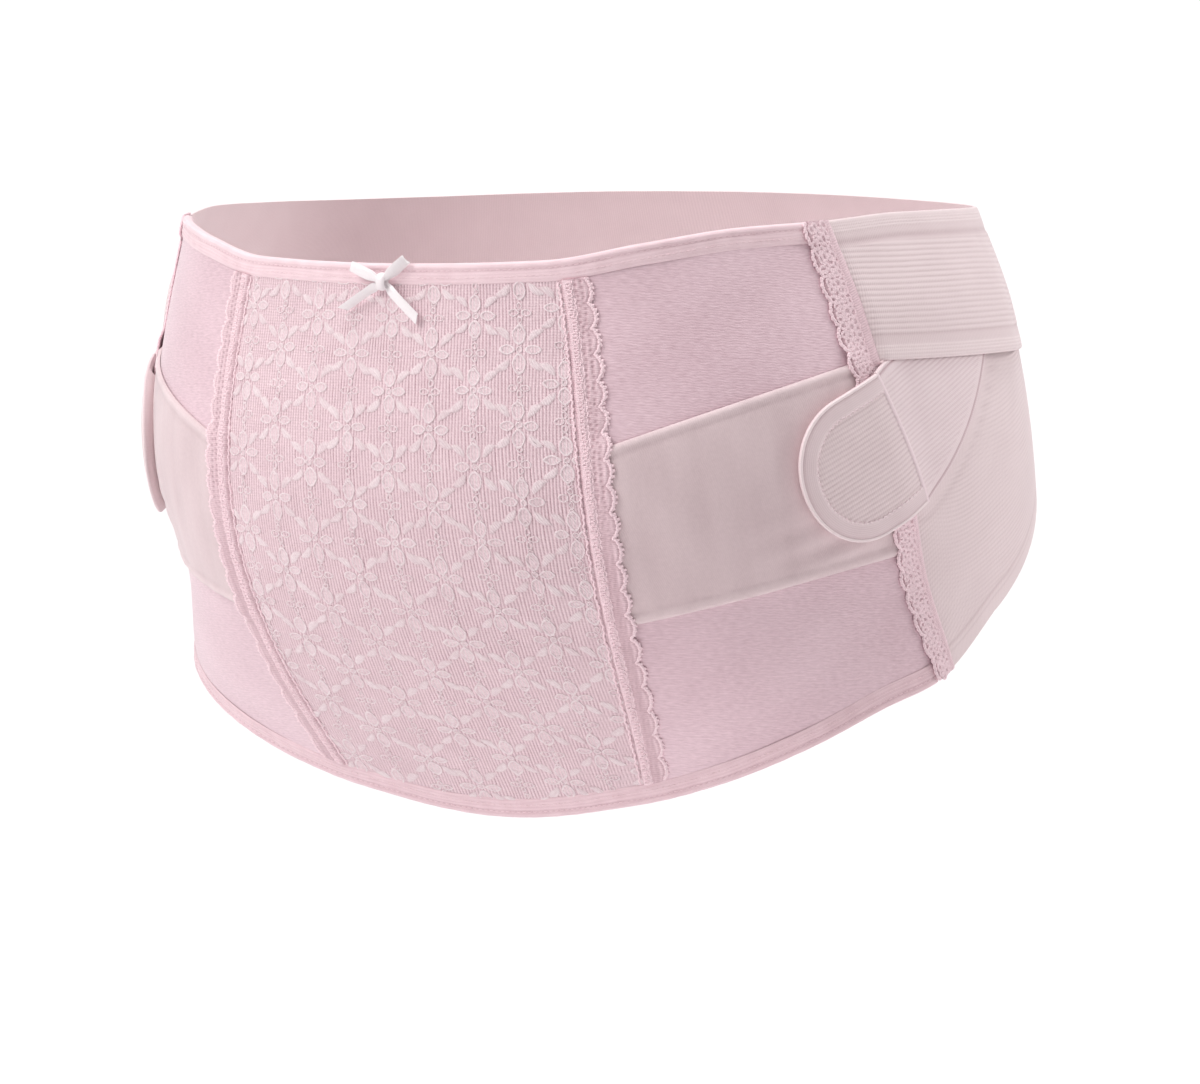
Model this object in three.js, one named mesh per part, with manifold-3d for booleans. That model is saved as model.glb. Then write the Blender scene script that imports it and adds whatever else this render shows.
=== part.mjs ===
// Belly support belt, in the form it takes when worn round the body.
// Millimetres, +Z up. The wearer faces -Y, and +X is the wearer's left.
// The origin is on the wearer's axis, about level with the tab ends.
// Angles are in degrees from centre front, growing toward the wearer's left and on round the back.

import * as THREE from "three";
import { mergeVertices } from "three/addons/utils/BufferGeometryUtils.js";
import Module from "manifold-3d";

// The body under the belt: one row for each level section
const BODY_SECTIONS = [
  { z: 90, halfWidth: 143, front: 164, back: 79 },
  { z: 35, halfWidth: 159, front: 162, back: 104 },
  { z: -20, halfWidth: 165, front: 161, back: 119 },
  { z: -80, halfWidth: 163, front: 128, back: 125 },
  { z: -140, halfWidth: 149, front: 75, back: 121 },
];
const FRONT_SQUARENESS = 2.17;
const BACK_SQUARENESS = 2.39;
const SIDE_HOLLOW = { depth: 9, angle: 62, angleSpread: 24, z: -51, heightSpread: 31 };

// Top and bottom edges of the whole belt, the same on both sides
const BELT_EDGES = [
  { angle: 0, top: 66.5, bottom: -138 },
  { angle: 20, top: 68, bottom: -130 },
  { angle: 34, top: 74, bottom: -120 },
  { angle: 48, top: 79, bottom: -107 },
  { angle: 62, top: 81, bottom: -93.5 },
  { angle: 76, top: 83.5, bottom: -83.5 },
  { angle: 95, top: 84, bottom: -52 },
  { angle: 110, top: 84.2, bottom: -26 },
  { angle: 130, top: 85, bottom: 2 },
  { angle: 180, top: 88, bottom: 14 },
];

// Seam lines from top to bottom, each hidden by a lace trim
const FRONT_SEAM = [
  { z: 70, angle: 23.8 },
  { z: -25, angle: 26 },
  { z: -130, angle: 23.2 },
];
const REAR_SEAM = [
  { z: 80, angle: 60 },
  { z: 33, angle: 63 },
  { z: -37, angle: 71 },
  { z: -84, angle: 76.5 },
];

// Landing band: it slants up from the front seam to the rear seam
const LANDING_BAND = [
  { angle: 26, bottom: -60, top: 2.5 },
  { angle: 46, bottom: -49, top: 20 },
  { angle: 68, bottom: -38, top: 35 },
];

// Cloth layers, measured outward from the body
const GAP = 0.3;
const CLOTH = 1;
const BAND_INNER = 1.25;
const BAND_OUTER = 2.25;
const TRIM_INNER = 1.5;
const TRIM_THICKNESS = 1;
const TRIM_RISE_OVER_BAND = 1.5;
const TRIM_RAMP = 8;
const BACK_BAND_THICKNESS = 1.2;
const LOWER_PANEL_LIFT = 1.25;
const STRAP_LIFT = 2.35;

// Widths of the lace trims beside their seams, in degrees, and the scallops along one edge
const FRONT_TRIM = { straight: -2, scalloped: 1.3, bandEnd: 1 };
const REAR_TRIM = { straight: 2.5, scalloped: -1.9, bandEnd: -1.6 };
const SCALLOP_DEPTH = 0.95;
const SCALLOP_PITCH = 9.2;
const POINTS_PER_SCALLOP = 4;

// Tape folded over the front edges
const BINDING = { height: 7.5, wall: 1, clearance: 0.5, endBeforeSeam: 3.2, stations: 38 };
const PANEL_INSET = 1.35;

// Back: a ribbed band over a ribbed panel that is tucked under it
const UPPER_BAND_BOTTOM = 31.5;
const LOWER_PANEL_TOP = 46;
const CLIMB_START = 2.9;
const CLIMB_END = 5.5;
const TUCK_END = 12;
const LIFT_FULL_BELOW = 50;
const LIFT_NONE_ABOVE = 64;
const STRAP_COVER_END = 95;
const STRAP_COVER_FADE = 7;
const BACK_CENTRE = 180;
const BACK_STEPS = [0, 3, 4.3, 5.6, 8.5, 12, 16, 21, 26, 32, 38, 45, 53, 61, 70, 79, 88, 98, 108, 117];

// Tab: a round end sewn to a strap, laid out on the unrolled side (s forward to back, z up)
const TAB_TIP_ANGLE = 52;
const SIDE_MM_PER_DEGREE = 2.58;
const TAB = { radius: 25.5, straight: 20, tilt: 26, rim: 7 };
const TAB_CENTRE = new THREE.Vector2(24.4, -4.6);
const TAB_FRONT_LIFT = 4.3;
const TAB_REAR_LIFT = 1.3;
const TAB_DROP_START = -1.5;
const TAB_DROP_END = 7;
const TAB_END_THICKNESS = 1.6;
const TAB_RIM_THICKNESS = 2;
const STRAP_THICKNESS = 1.8;
const STRAP_TOP_BEND = new THREE.Vector2(48, 31);
const STRAP_TOP_END = new THREE.Vector2(72, 46);
const STRAP_BOTTOM_BEND = new THREE.Vector2(84, 8);
const STRAP_BOTTOM_END = new THREE.Vector2(97, 46);
const HOOK_PATCH = { radius: 22, halfHeight: 19, inner: 2.55, outer: 4, clearOfSeam: 3.4 };

// Ribbon bow at the top centre
const BOW = { z: 60, ribbon: 3.6, thickness: 1, layer: 1.6, standOff: 2.8 };
const KNOT = { halfWidth: 2.7, halfHeight: 2.5, halfDepth: 1.9, around: 12, upDown: 8 };
const LOOPS = [
  { direction: 40, length: 12 },
  { direction: 157, length: 13.5 },
];
const TAILS = [
  { direction: -43.5, length: 19.6 },
  { direction: -149, length: 20 },
];
const TAIL_CUT = 2;
const FOLD_STEPS = 6;

// Facets of each piece, across and up
const FACETS = {
  lacePanel: { across: 12, up: 14 },
  sidePanel: { across: 10, up: 20 },
  landingBand: { across: 11, up: 8 },
  upperBackBand: { up: 6 },
  lowerBackPanel: { up: 7 },
  tabStrap: { across: 9, up: 7 },
  tabEnd: { round: 5, straight: 3, up: 6 },
  tabRim: { round: 20, straight: 3 },
  hookPatch: { across: 4, up: 6 },
};

const MATERIALS = {
  lace: new THREE.MeshStandardMaterial({ color: 0xe6ccd1, roughness: 0.85, metalness: 0 }),
  satin: new THREE.MeshStandardMaterial({ color: 0xdfc2ca, roughness: 0.45, metalness: 0 }),
  brushed: new THREE.MeshStandardMaterial({ color: 0xdccbd0, roughness: 0.95, metalness: 0 }),
  ribbed: new THREE.MeshStandardMaterial({ color: 0xe3d4d5, roughness: 0.8, metalness: 0 }),
  binding: new THREE.MeshStandardMaterial({ color: 0xe4c8cf, roughness: 0.6, metalness: 0 }),
  ribbon: new THREE.MeshStandardMaterial({ color: 0xf5eeee, roughness: 0.35, metalness: 0 }),
};

const { lerp, smoothstep, degToRad } = THREE.MathUtils;

// Even fractions from 0 to 1
function fractions(count) {
  return Array.from({ length: count + 1 }, (_, i) => i / count);
}

// One polynomial through every row of a short table
function polynomialThrough(rows, input, output) {
  return (x) => rows.reduce((sum, row, i) => {
    const others = rows.filter((_, k) => k !== i);
    const weight = others.reduce((w, other) => (w * (x - other[input])) / (row[input] - other[input]), 1);
    return sum + weight * row[output];
  }, 0);
}

// A curve through a table that never overshoots its rows, level at both ends
function steadyCurveThrough(rows, input, output) {
  const last = rows.length - 1;
  const rise = (i) => (rows[i + 1][output] - rows[i][output]) / (rows[i + 1][input] - rows[i][input]);
  const slopes = rows.map((_, i) => {
    if (i === 0 || i === last) {
      return 0;
    }
    const before = rise(i - 1);
    const after = rise(i);
    return before * after > 0 ? (2 * before * after) / (before + after) : 0;
  });
  return (x) => {
    const i = Math.min(last - 1, Math.max(0, rows.findLastIndex((row) => row[input] <= x)));
    const span = rows[i + 1][input] - rows[i][input];
    const f = (x - rows[i][input]) / span;
    const level = lerp(rows[i][output], rows[i + 1][output], smoothstep(f, 0, 1));
    return level + f * (1 - f) * span * ((1 - f) * slopes[i] - f * slopes[i + 1]);
  };
}

const halfWidthAt = polynomialThrough(BODY_SECTIONS, "z", "halfWidth");
const frontDepthAt = polynomialThrough(BODY_SECTIONS, "z", "front");
const backDepthAt = polynomialThrough(BODY_SECTIONS, "z", "back");
const topEdgeCurve = steadyCurveThrough(BELT_EDGES, "angle", "top");
const bottomEdgeCurve = steadyCurveThrough(BELT_EDGES, "angle", "bottom");
const frontSeamAt = polynomialThrough(FRONT_SEAM, "z", "angle");
const rearSeamAt = polynomialThrough(REAR_SEAM, "z", "angle");
const bandTopAt = polynomialThrough(LANDING_BAND, "angle", "top");
const bandBottomAt = polynomialThrough(LANDING_BAND, "angle", "bottom");

// The same place on the wearer's left half
function foldAngle(angle) {
  return angle > BACK_CENTRE ? 2 * BACK_CENTRE - angle : Math.abs(angle);
}

function topEdge(angle) {
  return topEdgeCurve(foldAngle(angle));
}

function bottomEdge(angle) {
  return bottomEdgeCurve(foldAngle(angle));
}

// The body's surface
function bodyPoint(angle, z) {
  const turn = degToRad(angle);
  const fore = Math.cos(turn);
  const power = 2 / (fore > 0 ? FRONT_SQUARENESS : BACK_SQUARENESS);
  const swell = (value) => Math.sign(value) * Math.abs(value) ** power;
  const depth = fore > 0 ? frontDepthAt(z) : backDepthAt(z);
  const around = (foldAngle(angle) - SIDE_HOLLOW.angle) / SIDE_HOLLOW.angleSpread;
  const upDown = (z - SIDE_HOLLOW.z) / SIDE_HOLLOW.heightSpread;
  const hollow = SIDE_HOLLOW.depth * Math.exp(-(around ** 2) - upDown ** 2);
  const shrink = 1 - hollow / halfWidthAt(SIDE_HOLLOW.z);
  const x = halfWidthAt(z) * swell(Math.sin(turn));
  const y = -depth * swell(fore);
  return new THREE.Vector3(x * shrink, y * shrink, z);
}

function bodyNormal(angle, z) {
  const step = 0.5;
  const along = bodyPoint(angle + step, z).sub(bodyPoint(angle - step, z));
  const up = bodyPoint(angle, z + step).sub(bodyPoint(angle, z - step));
  return along.cross(up).normalize();
}

function place(angle, z, offset) {
  return bodyPoint(angle, z).addScaledVector(bodyNormal(angle, z), offset);
}

// Both faces of a cloth layer at one place
function layer(angle, z, inner, outer) {
  return { inside: place(angle, z, inner), outside: place(angle, z, outer) };
}

// A closed sheet: at(u, v) gives the points of its two faces, u to the wearer's left and v upward
function sheet(across, up, at) {
  const outside = [];
  const inside = [];
  for (const u of across) {
    for (const v of up) {
      const faces = at(u, v);
      outside.push(...faces.outside.toArray());
      inside.push(...faces.inside.toArray());
    }
  }
  const columns = across.length;
  const rows = up.length;
  const out = (i, j) => i * rows + j;
  const back = (i, j) => columns * rows + i * rows + j;
  const index = [];
  const quad = (a, b, c, d) => index.push(a, b, c, a, c, d);
  for (let i = 0; i < columns - 1; i += 1) {
    for (let j = 0; j < rows - 1; j += 1) {
      quad(out(i, j), out(i + 1, j), out(i + 1, j + 1), out(i, j + 1));
      quad(back(i, j), back(i, j + 1), back(i + 1, j + 1), back(i + 1, j));
    }
    quad(back(i, 0), back(i + 1, 0), out(i + 1, 0), out(i, 0));
    quad(out(i, rows - 1), out(i + 1, rows - 1), back(i + 1, rows - 1), back(i, rows - 1));
  }
  for (let j = 0; j < rows - 1; j += 1) {
    quad(out(0, j), out(0, j + 1), back(0, j + 1), back(0, j));
    quad(back(columns - 1, j), back(columns - 1, j + 1), out(columns - 1, j + 1), out(columns - 1, j));
  }
  const geometry = new THREE.BufferGeometry();
  geometry.setAttribute("position", new THREE.Float32BufferAttribute([...outside, ...inside], 3));
  geometry.setIndex(index);
  return geometry;
}

// The place inside four edge curves: start and end angles by height, low and high heights by angle
function within(start, end, low, high, u, v) {
  let z = 0;
  let angle = 0;
  for (let round = 0; round < 8; round += 1) {
    angle = lerp(start(z), end(z), u);
    z = lerp(low(angle), high(angle), v);
  }
  return { angle, z };
}

const panelTop = (angle) => topEdge(angle) - PANEL_INSET;
const panelBottom = (angle) => bottomEdge(angle) + PANEL_INSET;
const seamClearance = GAP / 2 / SIDE_MM_PER_DEGREE;

function frontLacePanel() {
  const end = (z) => frontSeamAt(z) - seamClearance;
  const start = (z) => -end(z);
  const { across, up } = FACETS.lacePanel;
  return sheet(fractions(across), fractions(up), (u, v) => {
    const { angle, z } = within(start, end, panelBottom, panelTop, u, v);
    return layer(angle, z, 0, CLOTH);
  });
}

function sidePanel() {
  const start = (z) => frontSeamAt(z) + seamClearance;
  const end = (z) => rearSeamAt(z) - seamClearance;
  const { across, up } = FACETS.sidePanel;
  return sheet(fractions(across), fractions(up), (u, v) => {
    const { angle, z } = within(start, end, panelBottom, panelTop, u, v);
    return layer(angle, z, 0, CLOTH);
  });
}

function landingBand() {
  const start = (z) => frontSeamAt(z) + FRONT_TRIM.bandEnd;
  const end = (z) => rearSeamAt(z) + REAR_TRIM.bandEnd;
  const { across, up } = FACETS.landingBand;
  return sheet(fractions(across), fractions(up), (u, v) => {
    const { angle, z } = within(start, end, bandBottomAt, bandTopAt, u, v);
    return layer(angle, z, BAND_INNER, BAND_OUTER);
  });
}

// How far a trim's scalloped edge has to rise to pass over the landing band's end
function riseOverBand(seam, z) {
  const low = bandBottomAt(seam(z));
  const high = bandTopAt(seam(z));
  const rising = smoothstep(z, low - TRIM_RAMP, low - GAP);
  const falling = 1 - smoothstep(z, high + GAP, high + TRIM_RAMP);
  return TRIM_RISE_OVER_BAND * rising * falling;
}

// A strip of scalloped lace over a seam, u from its wearer's-right edge to its wearer's-left edge
function laceTrim(seam, trim, low, high) {
  const length = high(seam(0)) - low(seam(0));
  const scallops = Math.round(length / SCALLOP_PITCH);
  const outward = Math.sign(trim.scalloped - trim.straight);
  return sheet([0, 1], fractions(scallops * POINTS_PER_SCALLOP), (u, v) => {
    const scalloped = (u === 1) === (outward > 0);
    const phase = (v * scallops) % 1;
    const bulge = outward * SCALLOP_DEPTH * Math.sqrt(1 - (2 * phase - 1) ** 2);
    const beside = scalloped ? trim.scalloped + bulge : trim.straight;
    const edge = (height) => seam(height) + beside;
    const { angle, z } = within(edge, edge, low, high, 0, v);
    const inner = TRIM_INNER + (scalloped ? riseOverBand(seam, z) : 0);
    return layer(angle, z, inner, inner + TRIM_THICKNESS);
  });
}

function frontTrim() {
  const low = (angle) => bottomEdge(angle) + BINDING.height + GAP;
  const high = (angle) => topEdge(angle) - BINDING.height - GAP;
  return laceTrim(frontSeamAt, FRONT_TRIM, low, high);
}

function rearTrim() {
  return laceTrim(rearSeamAt, REAR_TRIM, bottomEdge, topEdge);
}

// Tape folded over an edge; side is 1 for the top edge and -1 for the bottom edge
function foldedBinding(edge, side) {
  const { height, wall, clearance } = BINDING;
  const fold = [
    { from: height, under: height, face: CLOTH + clearance + wall, lining: CLOTH + clearance },
    { from: 0, under: wall, face: CLOTH + clearance + wall, lining: CLOTH + clearance },
    { from: 0, under: wall, face: -clearance - wall, lining: -clearance },
    { from: height, under: height, face: -clearance - wall, lining: -clearance },
  ];
  const rows = side > 0 ? fold : fold.toReversed();
  const end = (z) => Math.min(rearSeamAt(z), rearSeamAt(z - side * height)) - BINDING.endBeforeSeam;
  const start = (z) => -end(z);
  return sheet(fractions(BINDING.stations), [...rows.keys()], (u, row) => {
    const { angle, z } = within(start, end, edge, edge, u, 0);
    const { from, under, face, lining } = rows[row];
    return {
      outside: place(angle, z - side * from, face),
      inside: place(angle, z - side * under, lining),
    };
  });
}

// Columns round the back, close together where the layers climb over each other
function backColumns() {
  const half = BACK_STEPS.at(-1);
  const near = BACK_STEPS.map((step) => step / half / 2);
  const far = near.slice(0, -1).map((value) => 1 - value).reverse();
  return [...near, ...far];
}

// How far the upper band stands off the body to pass over what is tucked under it
function upperBandLift(angle, z) {
  const side = foldAngle(angle);
  const climb = smoothstep(side - rearSeamAt(z), CLIMB_START, CLIMB_END);
  const strap = 1 - smoothstep(side, STRAP_COVER_END, STRAP_COVER_END + STRAP_COVER_FADE);
  const settle = 1 - smoothstep(z, LIFT_FULL_BELOW, LIFT_NONE_ABOVE);
  return settle * climb * (LOWER_PANEL_LIFT + STRAP_LIFT * strap);
}

const backStart = (z) => rearSeamAt(z) + seamClearance;
const backEnd = (z) => 2 * BACK_CENTRE - backStart(z);

function upperBackBand() {
  return sheet(backColumns(), fractions(FACETS.upperBackBand.up), (u, v) => {
    const { angle, z } = within(backStart, backEnd, () => UPPER_BAND_BOTTOM, topEdge, u, v);
    const lift = upperBandLift(angle, z);
    return layer(angle, z, lift, lift + BACK_BAND_THICKNESS);
  });
}

function lowerBackPanel() {
  const clear = UPPER_BAND_BOTTOM - 2 * GAP;
  const top = (angle) => {
    const behindSeam = foldAngle(angle) - rearSeamAt(UPPER_BAND_BOTTOM);
    return lerp(clear, LOWER_PANEL_TOP, smoothstep(behindSeam, CLIMB_END, TUCK_END));
  };
  return sheet(backColumns(), fractions(FACETS.lowerBackPanel.up), (u, v) => {
    const { angle, z } = within(backStart, backEnd, bottomEdge, top, u, v);
    return layer(angle, z, 0, CLOTH);
  });
}

// A tab layer at a place on the unrolled side, riding over the rear trim and down behind it
function tabLayer(spot, thickness) {
  const angle = TAB_TIP_ANGLE + spot.x / SIDE_MM_PER_DEGREE;
  const drop = smoothstep(angle - rearSeamAt(spot.y), TAB_DROP_START, TAB_DROP_END);
  const inner = lerp(TAB_FRONT_LIFT, TAB_REAR_LIFT, drop);
  return layer(angle, spot.y, inner, inner + thickness);
}

const tabAxis = new THREE.Vector2(1, 0).rotateAround(new THREE.Vector2(), degToRad(TAB.tilt));
const tabSide = new THREE.Vector2(0, 1).rotateAround(new THREE.Vector2(), degToRad(TAB.tilt));

// A point measured along the tab's axis from the centre of its round end, and across it
function tabPoint(along, across) {
  return TAB_CENTRE.clone().addScaledVector(tabAxis, along).addScaledVector(tabSide, across);
}

function tabEnd() {
  const radius = TAB.radius - TAB.rim - GAP;
  const firstTurn = 22;
  const facets = FACETS.tabEnd;
  const turns = fractions(facets.round).map((f) => degToRad(lerp(firstTurn, 90, f)));
  const round = turns.map((turn) => ({ along: -radius * Math.cos(turn), half: radius * Math.sin(turn) }));
  const legs = fractions(facets.straight).slice(1);
  const straight = legs.map((f) => ({ along: f * (TAB.straight - GAP), half: radius }));
  const stations = [...round, ...straight];
  return sheet([...stations.keys()], fractions(facets.up), (station, v) => {
    const { along, half } = stations[station];
    return tabLayer(tabPoint(along, lerp(-half, half, v)), TAB_END_THICKNESS);
  });
}

// The rim runs from the cross seam's top, round the end, to the cross seam's bottom
function tabRim() {
  const rimPoint = (radius, station) => {
    if (station < 0) {
      return tabPoint(-station * (TAB.straight - GAP), radius);
    }
    if (station > 1) {
      return tabPoint((station - 1) * (TAB.straight - GAP), -radius);
    }
    const turn = degToRad(90 + 180 * station);
    return tabPoint(radius * Math.cos(turn), radius * Math.sin(turn));
  };
  const round = fractions(FACETS.tabRim.round);
  const legs = fractions(FACETS.tabRim.straight).slice(1);
  const stations = [...legs.map((f) => -f).reverse(), ...round, ...legs.map((f) => 1 + f)];
  return sheet([TAB.radius, TAB.radius - TAB.rim], stations.reverse(), (radius, station) =>
    tabLayer(rimPoint(radius, station), TAB_RIM_THICKNESS));
}

function tabStrap() {
  const front = TAB.straight + GAP / 2;
  const top = new THREE.QuadraticBezierCurve(tabPoint(front, TAB.radius), STRAP_TOP_BEND, STRAP_TOP_END);
  const bottom = new THREE.QuadraticBezierCurve(
    tabPoint(front, -TAB.radius), STRAP_BOTTOM_BEND, STRAP_BOTTOM_END);
  const { across, up } = FACETS.tabStrap;
  return sheet(fractions(across), fractions(up), (u, v) =>
    tabLayer(bottom.getPoint(u).lerp(top.getPoint(u), v), STRAP_THICKNESS));
}

function hookPatch() {
  const { radius, halfHeight, inner, outer, clearOfSeam } = HOOK_PATCH;
  const { across, up } = FACETS.hookPatch;
  return sheet(fractions(across), fractions(up), (u, v) => {
    const rise = lerp(-halfHeight, halfHeight, v);
    const z = TAB_CENTRE.y + rise;
    const front = TAB_TIP_ANGLE + (TAB_CENTRE.x - Math.sqrt(radius ** 2 - rise ** 2)) / SIDE_MM_PER_DEGREE;
    return layer(lerp(front, rearSeamAt(z) - clearOfSeam, u), z, inner, outer);
  });
}

// Bow pieces lie flat: x to the wearer's left, y up, z away from the belt
function ribbonLoop({ direction, length }) {
  const outline = new THREE.Shape();
  outline.moveTo(0, -BOW.thickness);
  outline.absarc(length - BOW.layer, 0, BOW.layer, -Math.PI / 2, Math.PI / 2);
  outline.lineTo(0, BOW.thickness);
  const eye = new THREE.Path();
  const eyeRadius = BOW.layer - BOW.thickness;
  eye.moveTo(BOW.ribbon, 0);
  eye.absarc(length - BOW.layer, 0, eyeRadius, -Math.PI / 2, Math.PI / 2);
  outline.holes.push(eye);
  const loop = new THREE.ExtrudeGeometry(outline,
    { depth: BOW.ribbon, bevelEnabled: false, curveSegments: FOLD_STEPS });
  loop.translate(0, 0, -BOW.ribbon / 2).rotateX(Math.PI / 2);
  return loop.rotateZ(degToRad(direction)).translate(0, 0, BOW.layer);
}

function ribbonTail({ direction, length }) {
  const half = BOW.ribbon / 2;
  const outline = new THREE.Shape();
  outline.moveTo(0, -half);
  outline.lineTo(length, -half);
  outline.lineTo(length - TAIL_CUT, half);
  outline.lineTo(0, half);
  const tail = new THREE.ExtrudeGeometry(outline, { depth: BOW.thickness, bevelEnabled: false });
  return tail.rotateZ(degToRad(direction)).translate(0, 0, BOW.thickness / 2);
}

function ribbonKnot() {
  const knot = new THREE.SphereGeometry(1, KNOT.around, KNOT.upDown);
  return knot.scale(KNOT.halfWidth, KNOT.halfHeight, KNOT.halfDepth).translate(0, 0, KNOT.halfDepth);
}

const wasm = await Module();
wasm.setup();

function toManifold(geometry) {
  const bare = new THREE.BufferGeometry();
  bare.setAttribute("position", geometry.getAttribute("position"));
  bare.setIndex(geometry.getIndex());
  const merged = mergeVertices(bare);
  return new wasm.Manifold(new wasm.Mesh({
    numProp: 3,
    vertProperties: new Float32Array(merged.getAttribute("position").array),
    triVerts: new Uint32Array(merged.getIndex().array),
  }));
}

function joined(geometries) {
  const mesh = geometries.map(toManifold).reduce((whole, piece) => whole.add(piece)).getMesh();
  const geometry = new THREE.BufferGeometry();
  geometry.setAttribute("position", new THREE.BufferAttribute(new Float32Array(mesh.vertProperties), 3));
  geometry.setIndex(new THREE.BufferAttribute(new Uint32Array(mesh.triVerts), 1));
  return geometry;
}

function bowMesh() {
  const pieces = [ribbonKnot(), ...LOOPS.map(ribbonLoop), ...TAILS.map(ribbonTail)];
  const mesh = new THREE.Mesh(joined(pieces), MATERIALS.ribbon);
  const outward = bodyNormal(0, BOW.z);
  const left = new THREE.Vector3(1, 0, 0);
  const up = outward.clone().cross(left);
  mesh.rotation.setFromRotationMatrix(new THREE.Matrix4().makeBasis(left, up, outward));
  mesh.position.copy(place(0, BOW.z, BOW.standOff));
  mesh.name = "bow";
  return mesh;
}

function named(name, geometry, material) {
  const mesh = new THREE.Mesh(geometry, material);
  mesh.name = name;
  return mesh;
}

// The pieces that come in pairs, on one side of the belt; the other side is its mirror image
function pairedPieces(side) {
  const half = new THREE.Group();
  half.add(
    named(`side_panel_${side}`, sidePanel(), MATERIALS.satin),
    named(`landing_band_${side}`, landingBand(), MATERIALS.brushed),
    named(`front_trim_${side}`, frontTrim(), MATERIALS.lace),
    named(`rear_trim_${side}`, rearTrim(), MATERIALS.lace),
    named(`tab_strap_${side}`, tabStrap(), MATERIALS.ribbed),
    named(`tab_end_${side}`, tabEnd(), MATERIALS.ribbed),
    named(`tab_rim_${side}`, tabRim(), MATERIALS.binding),
    named(`hook_patch_${side}`, hookPatch(), MATERIALS.brushed),
  );
  half.scale.x = side === "left" ? 1 : -1;
  return half;
}

const belt = new THREE.Group();
belt.add(
  named("front_lace_panel", frontLacePanel(), MATERIALS.lace),
  named("upper_back_band", upperBackBand(), MATERIALS.ribbed),
  named("lower_back_panel", lowerBackPanel(), MATERIALS.ribbed),
  named("top_binding", foldedBinding(topEdge, 1), MATERIALS.binding),
  named("bottom_binding", foldedBinding(bottomEdge, -1), MATERIALS.binding),
  bowMesh(),
  pairedPieces("left"),
  pairedPieces("right"),
);

export default belt;
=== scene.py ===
"""Looks of a belly support belt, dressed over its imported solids.

Lengths are millimetres and angles degrees until a mesh is made, and then metres.
Angles run from centre front toward the wearer's left, which is +X, and on round the back.
"""
import math

import bpy
import numpy as np
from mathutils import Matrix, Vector


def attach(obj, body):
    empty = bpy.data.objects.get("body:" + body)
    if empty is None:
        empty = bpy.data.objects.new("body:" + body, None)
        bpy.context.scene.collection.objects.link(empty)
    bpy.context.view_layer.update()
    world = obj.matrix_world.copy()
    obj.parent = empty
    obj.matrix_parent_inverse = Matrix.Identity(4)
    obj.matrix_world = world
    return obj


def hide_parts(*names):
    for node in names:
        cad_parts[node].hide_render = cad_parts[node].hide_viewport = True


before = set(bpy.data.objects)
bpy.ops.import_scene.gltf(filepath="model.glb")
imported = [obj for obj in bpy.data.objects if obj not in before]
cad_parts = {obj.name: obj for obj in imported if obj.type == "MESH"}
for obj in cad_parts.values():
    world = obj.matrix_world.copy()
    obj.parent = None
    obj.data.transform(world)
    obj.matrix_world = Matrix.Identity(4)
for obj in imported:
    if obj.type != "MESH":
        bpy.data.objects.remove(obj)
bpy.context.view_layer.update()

MM = 0.001

# The body under the belt: one row for each level section
BODY_SECTIONS = [
    dict(z=90, half_width=143, front=164, back=79),
    dict(z=35, half_width=159, front=162, back=104),
    dict(z=-20, half_width=165, front=161, back=119),
    dict(z=-80, half_width=163, front=128, back=125),
    dict(z=-140, half_width=149, front=75, back=121),
]
FRONT_SQUARENESS = 2.17
BACK_SQUARENESS = 2.39
SIDE_HOLLOW = dict(depth=9, angle=62, angle_spread=24, z=-51, height_spread=31)

# Top and bottom edges of the whole belt, the same on both sides
BELT_EDGES = [
    dict(angle=0, top=66.5, bottom=-138),
    dict(angle=20, top=68, bottom=-130),
    dict(angle=34, top=74, bottom=-120),
    dict(angle=48, top=79, bottom=-107),
    dict(angle=62, top=81, bottom=-93.5),
    dict(angle=76, top=83.5, bottom=-83.5),
    dict(angle=95, top=84, bottom=-52),
    dict(angle=110, top=84.2, bottom=-26),
    dict(angle=130, top=85, bottom=2),
    dict(angle=180, top=88, bottom=14),
]
FRONT_SEAM = [dict(z=70, angle=23.8), dict(z=-25, angle=26), dict(z=-130, angle=23.2)]
REAR_SEAM = [
    dict(z=80, angle=60),
    dict(z=33, angle=63),
    dict(z=-37, angle=71),
    dict(z=-84, angle=76.5),
]
LANDING_BAND = [
    dict(angle=26, bottom=-60, top=2.5),
    dict(angle=46, bottom=-49, top=20),
    dict(angle=68, bottom=-38, top=35),
]

# Cloth layers, measured outward from the body
GAP = 0.3
CLOTH = 1.0
BAND_INNER = 1.25
BAND_OUTER = 2.25
TRIM_INNER = 1.12
TRIM_RISE_OVER_BAND = 1.5
TRIM_RAMP = 8
BACK_BAND_THICKNESS = 1.2
LOWER_PANEL_LIFT = 1.25
STRAP_LIFT = 2.35

# Trims beside their seams, in degrees
FRONT_TRIM = dict(straight=-2, scalloped=1.3, band_end=1)
REAR_TRIM = dict(straight=2.5, scalloped=-1.9, band_end=-1.6)
SCALLOP_PITCH = 9.2
FRONT_SCALLOP_DEPTH = 2.4
REAR_SCALLOP_DEPTH = 2.1
REAR_TRIM_FOOT = 0.6
RISE_OVER_TAPE = 1.1

BINDING = dict(height=7.5, wall=1, clearance=0.5, end_before_seam=1.7)
TAPE_SEAMS = [dict(depth=5.2, lift=1.6), dict(depth=2.65, lift=1.8)]
TAPE_STITCH = dict(length=1.6, gap=0.7, radius=0.17)
PANEL_INSET = 1.35

UPPER_BAND_BOTTOM = 31.5
LOWER_PANEL_TOP = 46
CLIMB_START = 1.2
CLIMB_END = 3.8
TUCK_END = 12
LIFT_FULL_BELOW = 47
LIFT_NONE_ABOVE = 80
STRAP_COVER_END = 95
STRAP_COVER_FADE = 7

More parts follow.
